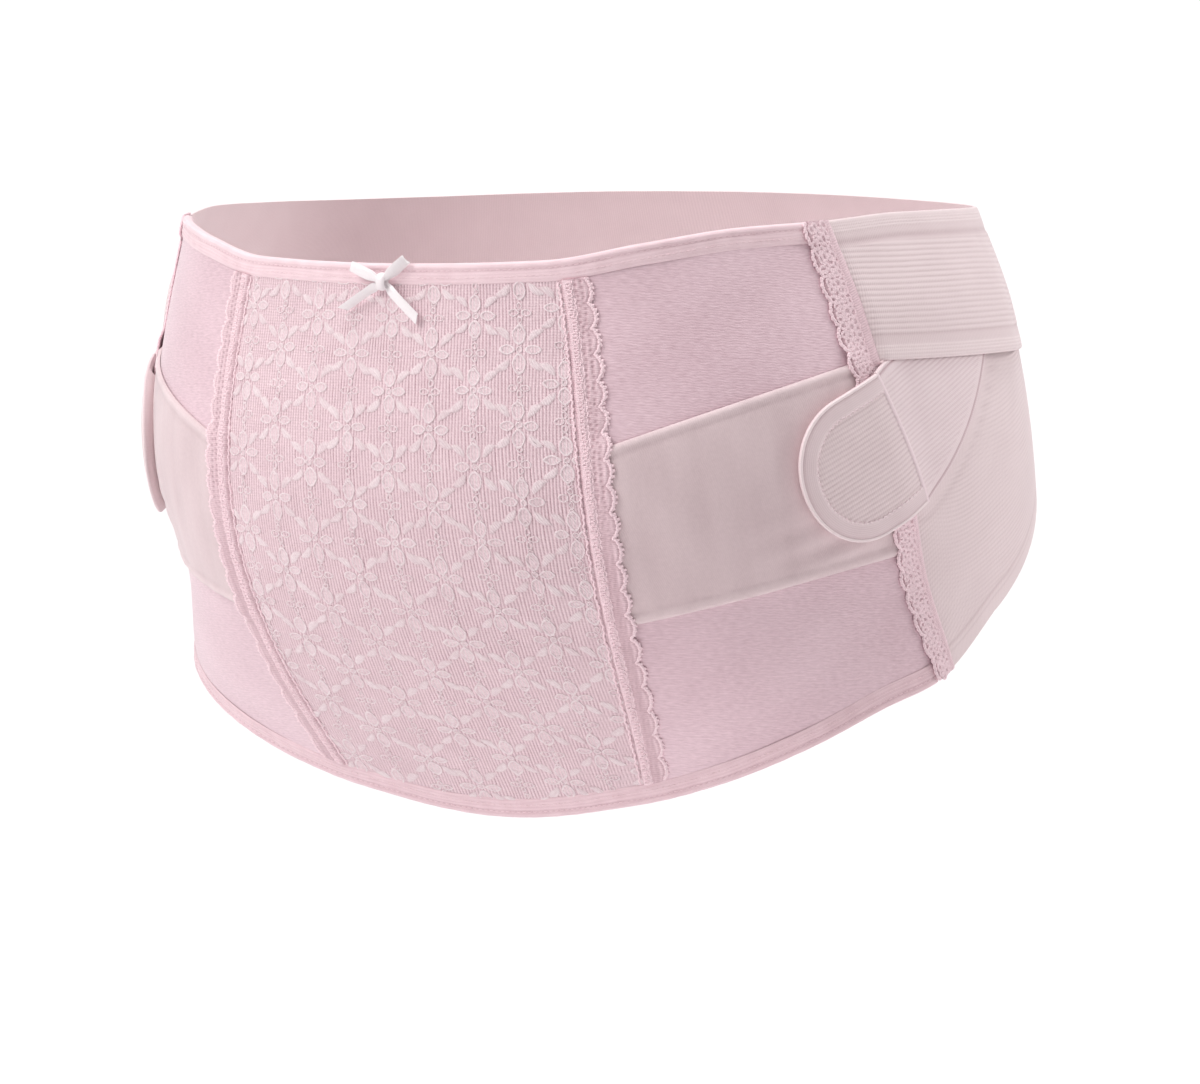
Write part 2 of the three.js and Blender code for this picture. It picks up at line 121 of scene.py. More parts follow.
# Plain hems beside the ribs: where each one fades out, from the edge inward
UPPER_HEM = dict(top=(9.4, 10.4), bottom=(8.2, 9.4))
UPPER_FINE_RIBS = dict(top=(4.4, 5.2), top_pitch=1.05, bottom=(4.6, 5.6), bottom_pitch=1.15)
LOWER_HEM = (9.0, 10.4)
STRAP_HEM = (3.6, 4.6)
# Folds in the landing band that the tab pulls
BAND_PULL = dict(angle=58, angle_spread=9, z=-32, height_spread=14, height=0.3)

# Tab on the unrolled side: s forward to back, z up
TAB_TIP_ANGLE = 52
SIDE_MM_PER_DEGREE = 2.58
TAB = dict(radius=25.5, straight=20, tilt=26, rim=7)
TAB_CENTRE = np.array([24.4, -4.6])
TAB_FRONT_LIFT = 4.3
TAB_REAR_LIFT = 1.3
TAB_DROP_START = -1.5
TAB_DROP_END = 7
TAB_END_THICKNESS = 1.6
RIM_UNDERCUT = 0.22
TAB_MESH = dict(first_turn=6, round_lines=34, straight_lines=24, across=132)
TAB_ZIGZAG = dict(inset=0.35, half_width=0.55, turn=0.72, lift=1.84, radius=0.17)
CROSS_SEAM = dict(lift=1.72, wave=0.06, radius=0.85, flat=0.36)
STRAP_THICKNESS = 1.8
STRAP_CLOTH = dict(length=80, width=48)
STRAP_TOP_BEND = np.array([38.0, 33.5])
STRAP_TOP_END = np.array([72.0, 46.0])
STRAP_BOTTOM_BEND = np.array([84.0, 8.0])
STRAP_BOTTOM_END = np.array([97.0, 46.0])
HOOK_PATCH = dict(radius=22, half_height=19, inner=2.55, outer=4, clear_of_seam=3.4)
HOOK_MESH = dict(across=40, width=34, up=44, height=38, roll=1.5)
HOOK_TUFTS = dict(across=22, up=24, height=0.3)

BOW = dict(z=60, ribbon=3.6, thickness=0.34, stand_off=2.8, layer=1.5, fold=0.75)
BOW_MESH = dict(loop=14, fold=9, tail=30, knot=25)
BOW_LOOPS = [dict(direction=40, length=12, roll=38), dict(direction=157, length=13.5, roll=-8)]
BOW_TAILS = [dict(direction=-43.5, length=19.6, roll=6), dict(direction=-149, length=20, roll=-48)]
TAIL_CUT = 2.0
KNOT = dict(half_width=2.7, half_height=2.5, half_depth=1.9)

# Cloth textures that have real relief: pitch from crest to crest, and height
LACE_RIB = dict(height=0.34)
UPPER_RIB = dict(pitch=1.95, height=0.22)
LOWER_RIB = dict(pitch=1.85, height=0.18, lean=0.3, lean_end=90)
STRAP_RIB = dict(pitch=1.6, height=0.18)
TAB_RIB = dict(pitch=1.66, height=0.24)

# Lace lattice: flowers at every second crossing of these half steps, leaves along the diagonals
LATTICE = dict(across=16.53, up=13.1, first_across=35.9, first_up=22.9)
# How the lattice is stretched toward the bottom, and bowed up at the sides
LATTICE_STRETCH = dict(across=0.0173, up=0.0725, lean=0.144, tilt=0.94, bow=0.214, turn=0.0163)
LACE_RIBS_PER_STEP = 13.5

# Mesh lines across and up each wide sheet, its height, and the roll of its top and bottom edges
SHEET_MESH = dict(
    lace=dict(across=660, up=76, height=230, roll=1.2, crowded=False),
    side_panel=dict(across=60, up=100, height=170, roll=1.0, crowded=False),
    landing_band=dict(across=90, up=70, height=66, roll=2.4, crowded=False),
    upper_band=dict(across=130, up=184, height=54, roll=1.6, crowded=True),
    lower_panel=dict(across=100, up=360, height=110, roll=1.2, crowded=True),
    strap=dict(across=130, up=180, height=44, roll=1.2, crowded=False),
)
TRIM_MESH = dict(across=34, row_height=0.52)
# Steps, across and up, between the mesh lines that a sheet's hidden face keeps
HIDDEN_STEPS = dict(lace=(8, 4), upper_band=(2, 8), lower_panel=(2, 8), trim=(7, 7), other=(6, 6))
TAPE_MESH_LINES = 340
SHARP_ANGLE = 65

# View of the photograph
CAMERA_AZIMUTH = 27.855
CAMERA_ELEVATION = 3.571
CAMERA_DISTANCE = 1.950
CAMERA_LENS = 154.56
CAMERA_SENSOR = 36.0
AIM_BELOW_ORIGIN = 0.0433
AIM_LEFT_OF_ORIGIN = 0.0006

# Pale paper floor that bends up into a backdrop, in metres
STUDIO = dict(level=-0.42, near=-4.0, bend=1.4, bend_radius=0.9, top=3.2, half_width=6.0)
PAPER_TONES = dict(dark=(244, 242, 243), light=(247, 245, 246))

# Soft studio lights: metres and watts
LIGHTS = [
    dict(name="key", place_at=(-1.2, -2.0, 1.8), aim=(0, 0, 0), size=1.5, power=55, tint=(1.0, 0.985, 0.98)),
    dict(name="side", place_at=(1.7, 1.2, 1.2), aim=(0, 0, 0), size=1.4, power=23, tint=(1.0, 0.99, 0.985)),
    dict(name="top", place_at=(0.3, -0.4, 2.4), aim=(0, 0, 0), size=1.6, power=27, tint=(1.0, 1.0, 1.0)),
    dict(name="left", place_at=(-1.9, 0.7, 0.7), aim=(0, 0, 0), size=1.2, power=0.8, tint=(1.0, 0.99, 0.99)),
    dict(name="backdrop", place_at=(-0.3, 0.75, 1.5), aim=(-1.0, 2.0, 0.1), size=1.2, power=8,
         tint=(1.0, 1.0, 1.0)),
]
SKY_STRENGTH = 0.29


def lerp(a, b, f):
    return a + (b - a) * f


def smoothstep(x, low, high):
    f = np.clip((x - low) / (high - low), 0, 1)
    return f * f * (3 - 2 * f)


def even(count):
    return np.linspace(0, 1, count + 1)


def crowded_ends(count):
    """Fractions from 0 to 1 that lie closer together toward both ends."""
    f = even(count)
    return f - 0.7 / (2 * np.pi) * np.sin(2 * np.pi * f)


def unit(vectors):
    return vectors / np.linalg.norm(vectors, axis=-1, keepdims=True)


def column(rows, name):
    return np.array([row[name] for row in rows], float)


def polynomial_through(rows, x_name, y_name):
    """One polynomial through every row of a short table."""
    xs, ys = column(rows, x_name), column(rows, y_name)

    def value(x):
        total = 0.0
        for i, y in enumerate(ys):
            weight = y
            for other in np.delete(xs, i):
                weight = weight * (x - other) / (xs[i] - other)
            total = total + weight
        return total

    return value


def steady_curve_through(rows, x_name, y_name):
    """A curve through a table that never overshoots its rows, level at both ends."""
    xs, ys = column(rows, x_name), column(rows, y_name)
    rise = np.diff(ys) / np.diff(xs)
    before, after = rise[:-1], rise[1:]
    steady = before * after > 0
    slopes = np.zeros(len(xs))
    slopes[1:-1] = np.where(steady, 2 * before * after / np.where(steady, before + after, 1), 0)

    def value(x):
        i = np.clip(np.searchsorted(xs, x, side="right") - 1, 0, len(xs) - 2)
        span = xs[i + 1] - xs[i]
        f = (x - xs[i]) / span
        level = lerp(ys[i], ys[i + 1], smoothstep(f, 0, 1))
        return level + f * (1 - f) * span * ((1 - f) * slopes[i] - f * slopes[i + 1])

    return value


half_width_at = polynomial_through(BODY_SECTIONS, "z", "half_width")
front_depth_at = polynomial_through(BODY_SECTIONS, "z", "front")
back_depth_at = polynomial_through(BODY_SECTIONS, "z", "back")
top_edge_curve = steady_curve_through(BELT_EDGES, "angle", "top")
bottom_edge_curve = steady_curve_through(BELT_EDGES, "angle", "bottom")
front_seam_at = polynomial_through(FRONT_SEAM, "z", "angle")
rear_seam_at = polynomial_through(REAR_SEAM, "z", "angle")
band_top_at = polynomial_through(LANDING_BAND, "angle", "top")
band_bottom_at = polynomial_through(LANDING_BAND, "angle", "bottom")


def fold_angle(angle):
    return np.where(angle > 180, 360 - angle, np.abs(angle))


def top_edge(angle):
    return top_edge_curve(fold_angle(angle))


def bottom_edge(angle):
    return bottom_edge_curve(fold_angle(angle))


def panel_top(angle):
    return top_edge(angle) - PANEL_INSET


def panel_bottom(angle):
    return bottom_edge(angle) + PANEL_INSET


def body_point(angle, z):
    angle, z = np.broadcast_arrays(np.asarray(angle, float), np.asarray(z, float))
    turn = np.radians(angle)
    fore = np.cos(turn)
    power = 2 / np.where(fore > 0, FRONT_SQUARENESS, BACK_SQUARENESS)
    depth = np.where(fore > 0, front_depth_at(z), back_depth_at(z))
    around = (fold_angle(angle) - SIDE_HOLLOW["angle"]) / SIDE_HOLLOW["angle_spread"]
    up_down = (z - SIDE_HOLLOW["z"]) / SIDE_HOLLOW["height_spread"]
    hollow = SIDE_HOLLOW["depth"] * np.exp(-(around**2) - up_down**2)
    shrink = 1 - hollow / half_width_at(SIDE_HOLLOW["z"])
    side = np.sin(turn)
    x = half_width_at(z) * np.sign(side) * np.abs(side) ** power
    y = -depth * np.sign(fore) * np.abs(fore) ** power
    return np.stack([x * shrink, y * shrink, z], axis=-1)


def body_normal(angle, z):
    step = 0.5
    along = body_point(angle + step, z) - body_point(angle - step, z)
    up = body_point(angle, z + step) - body_point(angle, z - step)
    return unit(np.cross(along, up))


def place(angle, z, offset):
    return body_point(angle, z) + body_normal(angle, z) * np.asarray(offset)[..., None]


# Lengths along the cloth at the front: across at mid height, and up a line beside the centre
ARC_ANGLES = np.linspace(-80, 80, 1601)
ARC_LEVEL = -10.0
RISE_HEIGHTS = np.linspace(-150, 100, 1001)
RISE_ANGLE = 12.0


def running_length(points, zero_at):
    steps = np.linalg.norm(np.diff(points, axis=0), axis=1)
    length = np.concatenate([[0], np.cumsum(steps)])
    return length - length[zero_at]


ARC_LENGTHS = running_length(body_point(ARC_ANGLES, ARC_LEVEL), int(np.argmin(np.abs(ARC_ANGLES))))
RISE_LENGTHS = running_length(body_point(RISE_ANGLE, RISE_HEIGHTS), int(np.argmin(np.abs(RISE_HEIGHTS))))


def arc_of_angle(angle):
    return np.interp(angle, ARC_ANGLES, ARC_LENGTHS)


def angle_of_arc(arc):
    return np.interp(arc, ARC_LENGTHS, ARC_ANGLES)


def rise_of_height(z):
    return np.interp(z, RISE_HEIGHTS, RISE_LENGTHS)


def height_of_rise(rise):
    return np.interp(rise, RISE_LENGTHS, RISE_HEIGHTS)


def within(start, end, low, high, u, v):
    """The place inside four edge curves: angles of both ends by height, both heights by angle."""
    z = np.zeros(np.broadcast(u, v).shape)
    for _ in range(8):
        angle = lerp(start(z), end(z), u)
        z = lerp(low(angle), high(angle), v)
    return angle, z


def waviness(a, b, seed):
    """A slow uneven swell between -1 and 1, the same on every run."""
    draw = np.random.default_rng(seed)
    total = 0.0
    for scale in (1.0, 1.7, 2.9):
        turn_a, turn_b, phase = draw.uniform(0.6, 1.4), draw.uniform(-1.2, 1.2), draw.uniform(0, 6.28)
        total = total + np.sin(scale * (turn_a * a + turn_b * b) + phase) / scale
    return total / 1.9


def rib(phase):
    """Rounded ribs with narrow valleys, 0 in a valley and 1 on a crest."""
    return np.abs(np.cos(np.pi * phase)) ** 0.75


def soft_edge(distance, roll):
    """Share of a cloth's thickness that is left near its edge."""
    inset = np.clip(distance / roll, 0, 1)
    return np.sqrt(1 - (1 - inset) ** 2)


def groove(distance, width):
    return np.exp(-((distance / width) ** 2))


def close_to_ends(fractions, length, roll):
    """Adds the lines that a rounded edge needs at both ends."""
    near = np.array([0.05, 0.2, 0.45, 0.8]) * roll / length
    inner = fractions[(fractions > near[-1] * 1.2) & (fractions < 1 - near[-1] * 1.2)]
    return np.concatenate([[0], near, inner, 1 - near[::-1], [1]])


def kept_lines(count, stride):
    return np.unique(np.append(np.arange(0, count, stride), count - 1))


def quads(index):
    """Faces of a grid of vertex numbers."""
    corners = (index[:-1, :-1], index[1:, :-1], index[1:, 1:], index[:-1, 1:])
    return np.stack([c.ravel() for c in corners], axis=1).tolist()


def rim(outer, inner, kept):
    """Faces between a fine edge line and a coarse one that keeps some of its points."""
    faces = []
    for n in range(len(kept) - 1):
        run = outer[kept[n]:kept[n + 1] + 1]
        faces.append([*run, inner[n + 1], inner[n]])
    return faces


def flipped(faces):
    return [face[::-1] for face in faces]


def tubes(shape, closed):
    """Faces of forms made of rings, by form, ring and point round; the ends are filled unless closed."""
    faces = []
    for form in np.arange(math.prod(shape)).reshape(shape):
        loop = np.concatenate([form, form[:, :1]], axis=1)
        if closed:
            faces += quads(np.concatenate([loop, loop[:1]], axis=0))
        else:
            faces += quads(loop) + [form[0].tolist(), form[-1][::-1].tolist()]
    return faces


def in_scene(name, data):
    thing = bpy.data.objects.new(name, data)
    bpy.context.scene.collection.objects.link(thing)
    return thing


class Builder:
    """Gathers the closed meshes of one piece."""

    def __init__(self):
        self.points, self.faces, self.cloth, self.painted_shade_and_tone = [], [], [], []
        self.count = 0

    def add(self, points, faces, cloth, painted_shade_and_tone):
        points = points.reshape(-1, 3)
        self.faces += [[corner + self.count for corner in face] for face in faces]
        self.points.append(points)
        self.cloth.append(np.broadcast_to(cloth, points.shape[:1] + (2,)))
        self.painted_shade_and_tone.append(np.broadcast_to(painted_shade_and_tone, points.shape[:1]))
        self.count += len(points)

    def add_sheet(self, outside, inside, cloth, painted_shade_and_tone, strides=(1, 1)):
        """A closed sheet from two grids of points; strides says which lines the hidden face keeps."""
        columns, rows = outside.shape[:2]
        kept_u, kept_v = kept_lines(columns, strides[0]), kept_lines(rows, strides[1])
        kept = np.ix_(kept_u, kept_v)
        out = np.arange(columns * rows).reshape(columns, rows)
        back = columns * rows + np.arange(len(kept_u) * len(kept_v)).reshape(len(kept_u), len(kept_v))
        faces = quads(out) + flipped(quads(back))
        faces += flipped(rim(out[:, 0], back[:, 0], kept_u)) + rim(out[:, -1], back[:, -1], kept_u)
        faces += rim(out[0], back[0], kept_v) + flipped(rim(out[-1], back[-1], kept_v))
        points = np.concatenate([outside.reshape(-1, 3), inside[kept].reshape(-1, 3)])
        maps = np.concatenate([cloth.reshape(-1, 2), cloth[kept].reshape(-1, 2)])
        inner_relief = np.full(back.size, 0.7)
        self.add(points, faces, maps, np.concatenate([painted_shade_and_tone.ravel(), inner_relief]))

    def add_layer(self, angle, z, inner, outer, cloth, painted_shade_and_tone, strides=HIDDEN_STEPS["other"]):
        """A closed sheet between two offsets from the body."""
        inner, outer, painted_shade_and_tone = (np.broadcast_to(value, angle.shape) for value in (inner, outer, painted_shade_and_tone))
        self.add_sheet(place(angle, z, outer), place(angle, z, inner), cloth, painted_shade_and_tone, strides)

    def add_threads(self, paths, normals, section, painted_shade_and_tone=0.8, closed=False, width=1.0, skew=0.0):
        """Solid threads or strips along paths, an array of thread, point and xyz."""
        if closed:
            tangents = np.roll(paths, -1, axis=1) - np.roll(paths, 1, axis=1)
        else:
            tangents = np.gradient(paths, axis=1)
        tangents = unit(tangents)
        sides = unit(np.cross(tangents, normals))
        lifts = np.cross(sides, tangents)
        width = np.broadcast_to(width, paths.shape[:2])[..., None, None]
        skew = np.broadcast_to(skew, paths.shape[:2])[..., None, None]
        across = section[:, 0, None] * width
        rings = sides[:, :, None] * across + lifts[:, :, None] * section[:, 1, None]
        rings = rings + tangents[:, :, None] * across * skew
        points = paths[:, :, None] + rings
        shape = points.shape[:3]
        strides = np.linalg.norm(np.diff(paths, axis=1), axis=2)
        lengths = np.concatenate([np.zeros((shape[0], 1)), np.cumsum(strides, axis=1)], axis=1)
        around = np.broadcast_to(np.arange(shape[2]) / shape[2], shape)
        cloth = np.stack([around, np.broadcast_to(lengths[..., None], shape)], axis=-1)
        self.add(points, tubes(shape, closed), cloth.reshape(-1, 2), painted_shade_and_tone)

    def add_pillows(self, points, cloth, painted_shade_and_tone):
        """Small raised closed forms: an array of form, ring from the middle outward, and point round."""
        self.add(points, tubes(points.shape[:3], False), cloth.reshape(-1, 2), painted_shade_and_tone.ravel())

    def piece(self, name, material, mirrored=False):
        """One Blender object, on either side of the belt."""
        points = np.concatenate(self.points) * MM
        faces = self.faces
        if mirrored:
            points = points * [-1, 1, 1]
            faces = flipped(faces)
        mesh = bpy.data.meshes.new(name)
        mesh.from_pydata(points, [], faces)
        mesh.shade_smooth()
        mesh.set_sharp_from_angle(angle=math.radians(SHARP_ANGLE))
        corners = np.zeros(len(mesh.loops), np.int32)
        mesh.loops.foreach_get("vertex_index", corners)
        maps = mesh.uv_layers.new(name="cloth")
        maps.uv.foreach_set("vector", np.concatenate(self.cloth)[corners].astype(np.float32).ravel())
        painted_shade_and_tone = mesh.attributes.new("painted_shade_and_tone", "FLOAT", "POINT")
        painted_shade_and_tone.data.foreach_set("value", np.concatenate(self.painted_shade_and_tone).astype(np.float32))
        mesh.materials.append(material)
        thing = in_scene(name, mesh)
        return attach(thing, "root")


def round_section(radius, sides=6, flat=1.0):
    turn = np.arange(sides) / sides * 2 * np.pi
    return np.stack([np.cos(turn), np.sin(turn) * flat], axis=1) * radius


def strip_section(width, thickness):
    """A flat strip with slightly rounded edges."""
    half, edge, high = width / 2, width / 2 - thickness / 2, thickness / 2
    return np.array([
        [half, 0], [edge, high], [0, high], [-edge, high],
        [-half, 0], [-edge, -high], [0, -high], [edge, -high],
    ])


def grid(u, v):
    return np.meshgrid(u, v, indexing="ij")


def sheet_grid(name):
    """Fractions across and up a wide sheet, with more lines at its rounded edges."""
    mesh = SHEET_MESH[name]
    across = crowded_ends(mesh["across"]) if mesh["crowded"] else even(mesh["across"])
    return grid(across, close_to_ends(even(mesh["up"]), mesh["height"], mesh["roll"]))


def side_map(angle, z):
    """Where a place on the sides or the back lies on the flat cloth."""
    return np.stack([angle * SIDE_MM_PER_DEGREE, z], axis=-1)


def layer_piece(name, material, mirrored, *layer):
    """A piece that is one closed sheet on the body."""
    builder = Builder()
    builder.add_layer(*layer)
    return builder.piece(name, material, mirrored)


def add_stitches(builder, points, normals, length, gap, radius):
    """Short threads along a line of points, dipping into the cloth at both ends."""
    run = running_length(points, 0)
    count = int(run[-1] // (length + gap))
    steps = np.linspace(-1, 1, 5)
    places = (np.arange(count)[:, None] + 0.5) * run[-1] / count + steps * length / 2

    def along(values):
        return np.stack([np.interp(places, run, values[:, k]) for k in range(3)], axis=-1)

    normal = unit(along(normals))
    lift = radius * (0.7 - 1.5 * steps**2)
    builder.add_threads(along(points) + normal * lift[:, None], normal, round_section(radius))


# Materials


def srgb(red, green, blue):
    """A screen colour, 0 to 255, as Blender's linear colour."""
    values = np.array([red, green, blue]) / 255
    linear = np.where(values <= 0.04045, values / 12.92, ((values + 0.055) / 1.055) ** 2.4)
    return (*linear, 1.0)


def add_node(tree, kind, inputs, **settings):
    node = tree.nodes.new("ShaderNode" + kind)
    for name, value in settings.items():
        setattr(node, name, value)
    for name, value in inputs.items():
        if isinstance(value, bpy.types.NodeSocket):
            tree.links.new(value, node.inputs[name])
        else:
            node.inputs[name].default_value = value
    return node


def new_material(name):
    material = bpy.data.materials.new(name)
    material.use_nodes = True
    return material, material.node_tree, material.node_tree.nodes["Principled BSDF"]


def weighted_sum(tree, terms):
    """Adds sockets, each times its weight."""
    total = None
    for socket, weight in terms:
        inputs = {0: socket, 1: weight, 2: 0.0 if total is None else total}
        total = add_node(tree, "Math", inputs, operation="MULTIPLY_ADD").outputs[0]
    return total


def cloth_material(name, light, dark, roughness, sheen, threads, depth,
                   mottle=0.25, gloss=0.3, speckle=0.0, streak=(1.0, 1.0), streaks=0.24, wobble=0.6):
    """Cloth with painted shade in its valleys and a painted highlight on its crests, with fine threads as
    bump.

    threads lists fine lines on the cloth: their pitch, and the way that they are counted in degrees.
    speckle paints dots of shade into the valleys between those lines, and streak stretches the grain of the
    fibres.
    """
    material, tree, shader = new_material(name)
    cloth = add_node(tree, "UVMap", {}, uv_map="cloth").outputs["UV"]
    painted_shade_and_tone = add_node(tree, "Attribute", {}, attribute_name="painted_shade_and_tone").outputs["Fac"]
    slow = add_node(tree, "TexNoise", {"Vector": cloth, "Scale": 0.06, "Detail": 3.0}).outputs["Fac"]
    grain = add_node(tree, "Mapping", {"Vector": cloth, "Scale": (*streak, 1.0)}).outputs["Vector"]
    fibre = add_node(tree, "TexNoise", {"Vector": grain, "Scale": 2.4, "Detail": 2.0}).outputs["Fac"]
    waves = []
    for pitch, direction in threads:
        turn = (0.0, 0.0, math.radians(-direction))
        turned = add_node(tree, "Mapping", {"Vector": cloth, "Rotation": turn}).outputs["Vector"]
        wave_scale = 2 * math.pi / (20 * pitch)
        wave = add_node(tree, "TexWave", {"Vector": turned, "Scale": wave_scale, "Distortion": wobble})
        waves.append(wave.outputs["Fac"])
    thread_height = weighted_sum(tree, [(wave, 1 / len(waves)) for wave in waves] + [(fibre, 0.5)])
    # Painted shade: the valleys, from the lightness attribute, and dots of it between the thread lines
    valley = add_node(tree, "Math", {0: 1.0, 1: painted_shade_and_tone}, operation="SUBTRACT").outputs[0]
    pit_shade = add_node(tree, "Math", {0: valley, 1: waves[0]}, operation="MULTIPLY").outputs[0]
    terms = [(painted_shade_and_tone, 1.0), (slow, mottle), (fibre, streaks), (thread_height, 0.16), (pit_shade, -speckle)]
    shade = weighted_sum(tree, terms)
    middle = 0.5 * mottle + 0.5 * streaks + 0.12
    level = add_node(tree, "MapRange", {0: shade, 1: middle, 2: 1 + middle, 3: 0.0, 4: 1.0}).outputs[0]
    colour = add_node(tree, "MixRGB", {"Fac": level, "Color1": srgb(*dark), "Color2": srgb(*light)})
    gloss_range = {0: fibre, 1: 0.3, 2: 0.7, 3: roughness - 0.06, 4: roughness + 0.06}
    rough = add_node(tree, "MapRange", gloss_range).outputs[0]
    bump = add_node(tree, "Bump", {"Height": thread_height, "Strength": 0.6, "Distance": depth * MM})
    tree.links.new(colour.outputs[0], shader.inputs["Base Color"])
    tree.links.new(rough, shader.inputs["Roughness"])
    tree.links.new(bump.outputs["Normal"], shader.inputs["Normal"])
    shader.inputs["Sheen Weight"].default_value = sheen
    shader.inputs["Sheen Roughness"].default_value = 0.45
    shader.inputs["Specular IOR Level"].default_value = gloss
    return material


# The first colour of each cloth is its painted highlight on crests and the second its painted shade in
# valleys, holes and grooves; mottle and fibre streaks move along the same mix as the cloth's own tone
LACE_GROUND = cloth_material("lace_ground", (246, 223, 228), (187, 149, 159), 0.85, 0.25, [(1.0, 90)], 0.15,
                             speckle=0.7, wobble=2.0, streak=(0.4, 0.4), streaks=0.4)
LACE_FLOWER = cloth_material("lace_flower", (241, 225, 228), (204, 170, 178), 0.85, 0.3, [(0.9, 35)], 0.2,
                             streak=(0.4, 0.4), streaks=0.6, wobble=3.0)
LACE_THREAD = cloth_material("lace_thread", (250, 223, 229), (172, 132, 142), 0.85, 0.3, [(0.8, 70)], 0.16,
                             streak=(0.4, 0.4), streaks=0.3)
SATIN = cloth_material("satin", (237, 209, 217), (204, 172, 181), 0.48, 0.3, [(0.95, 86)], 0.06,
                       gloss=0.4, streak=(0.14, 0.55), streaks=1.1, wobble=5.0)
BRUSHED = cloth_material("brushed", (228, 208, 210), (203, 181, 184), 0.92, 0.4, [(0.7, 20)], 0.03,
                         streak=(0.3, 0.3), streaks=0.4, wobble=6.0)
RIBBED = cloth_material("ribbed", (239, 222, 223), (200, 177, 180), 0.8, 0.3, [(0.85, 0)], 0.08)
STRAP = cloth_material("strap", (240, 223, 225), (203, 174, 180), 0.8, 0.3, [(0.85, 0)], 0.08)
TAPE = cloth_material("tape", (249, 223, 228), (208, 172, 180), 0.6, 0.3, [(0.5, 90)], 0.04, gloss=0.4)
PALE_TAPE = cloth_material("pale_tape", (246, 230, 231), (202, 178, 182), 0.65, 0.3, [(0.7, 0)], 0.04)
STITCH = cloth_material("stitch", (243, 224, 228), (224, 198, 204), 0.7, 0.3, [(0.5, 60)], 0.05)
RIBBON = cloth_material("ribbon", (249, 243, 244), (226, 212, 217), 0.35, 0.3, [(0.45, 0)], 0.02, gloss=0.6)
HOOK = cloth_material("hook_tape", (226, 211, 215), (196, 178, 184), 0.9, 0.2, [(0.9, 0), (0.9, 90)], 0.25)

SEAM_CLEARANCE = GAP / 2 / SIDE_MM_PER_DEGREE


def both_sides(make):
    """A piece on the wearer's left and its mirror image on the right."""
    return {side: make(side, side == "right") for side in ("left", "right")}


# Lace panel at the front, with a ribbed ground


def lace_panel():
    u, v = sheet_grid("lace")

    def edge(z):
        return arc_of_angle(front_seam_at(z) - SEAM_CLEARANCE)

    def low(arc):
        return panel_bottom(angle_of_arc(arc))

    def high(arc):
        return panel_top(angle_of_arc(arc))

    arc, z = within(lambda z: -edge(z), edge, low, high, u, v)
    across, up = lattice_step(arc, rise_of_height(z))
    crest = rib(LACE_RIBS_PER_STEP * across + 0.2 * waviness(arc / 2.2, z / 1.8, 2))
    outer = CLOTH - 0.26 + LACE_RIB["height"] * crest + 0.06 * waviness(arc / 9, z / 11, 3)
    cloth = np.stack([arc, rise_of_height(z)], axis=-1)
    # Lightness: painted shade in the rib valleys and a painted highlight on the crests
    return layer_piece("front_lace_panel_cloth", LACE_GROUND, False,
                       angle_of_arc(arc), z, 0.0, outer, cloth, 0.33 + 0.57 * crest, HIDDEN_STEPS["lace"])


def lattice_step(arc, rise):
    """Steps across and up the lattice at a place on the cloth."""
    form, stretch = LATTICE, LATTICE_STRETCH
    half = form["up"] / (2 * stretch["up"])
    up = half - np.sqrt(half**2 - (rise - form["first_up"]) / stretch["up"])
    step_across = form["across"] + stretch["across"] * up**2
    return (arc - form["first_across"] - stretch["lean"] * up) / step_across, up


def lattice_points(parity):
    """Crossings of the lattice and their sizes: flowers where parity is 0, small crosses where it is 1."""
    i, j = np.meshgrid(np.arange(-9, 5), np.arange(-14, 6), indexing="ij")
    chosen = (i + j) % 2 == parity
    i, j = i[chosen].astype(float), j[chosen].astype(float)
    form, stretch = LATTICE, LATTICE_STRETCH
    step_across = form["across"] + stretch["across"] * j**2
    across = form["first_across"] + i * step_across + stretch["lean"] * j
    up = form["first_up"] + form["up"] * j - stretch["up"] * j**2
    up = up + stretch["tilt"] * i + stretch["bow"] * i**2 + stretch["turn"] * i * j**2
    step_up = form["up"] - 2 * stretch["up"] * j
    sizes = np.stack([step_across / form["across"], step_up / form["up"]], axis=1)
    return np.stack([across, up], axis=1), sizes


# Rings of a small lace form from its middle to its rim: height over the ground, and lightness, which paints a
# highlight on the cords and a dark shadow line round the rim
PETAL = [(-0.08, 0.72), (-0.12, 0.55), (0.22, 0.92), (0.23, 0.98), (0.05, 0.5), (-0.35, 0.1)]
LEAF = [(0.24, 0.8), (0.23, 0.8), (0.18, 0.78), (0.1, 0.68), (-0.02, 0.42), (-0.35, 0.1)]
OPEN = [(-0.5, 0.3), (-0.4, 0.3), (0.16, 0.85), (0.2, 0.95), (0.04, 0.6), (-0.35, 0.2)]
FLOWER_EYE = dict(width=3.0, length=2.8, points=10, cord=0.8)
UPRIGHT_PETAL = dict(width=5.4, length=7.8, points=18, cord=0.95, point=1.35)
SIDE_PETAL = dict(width=3.7, length=6.6, points=14, cord=0.8, point=1.4)
CROSS_ARM = dict(width=3.0, length=4.4, points=12, cord=0.7)
CROSS_STEM = dict(width=2.5, length=3.2, points=10, cord=0.7)
CROSS_TIP = dict(width=2.6, length=2.6, points=10, cord=0.75)
DIAGONAL_LEAF = dict(width=3.2, length=7.6, points=14, cord=0.9, point=1.4)
LEAF_DISTANCE = 7.8
LEAF_BOW = 0.9
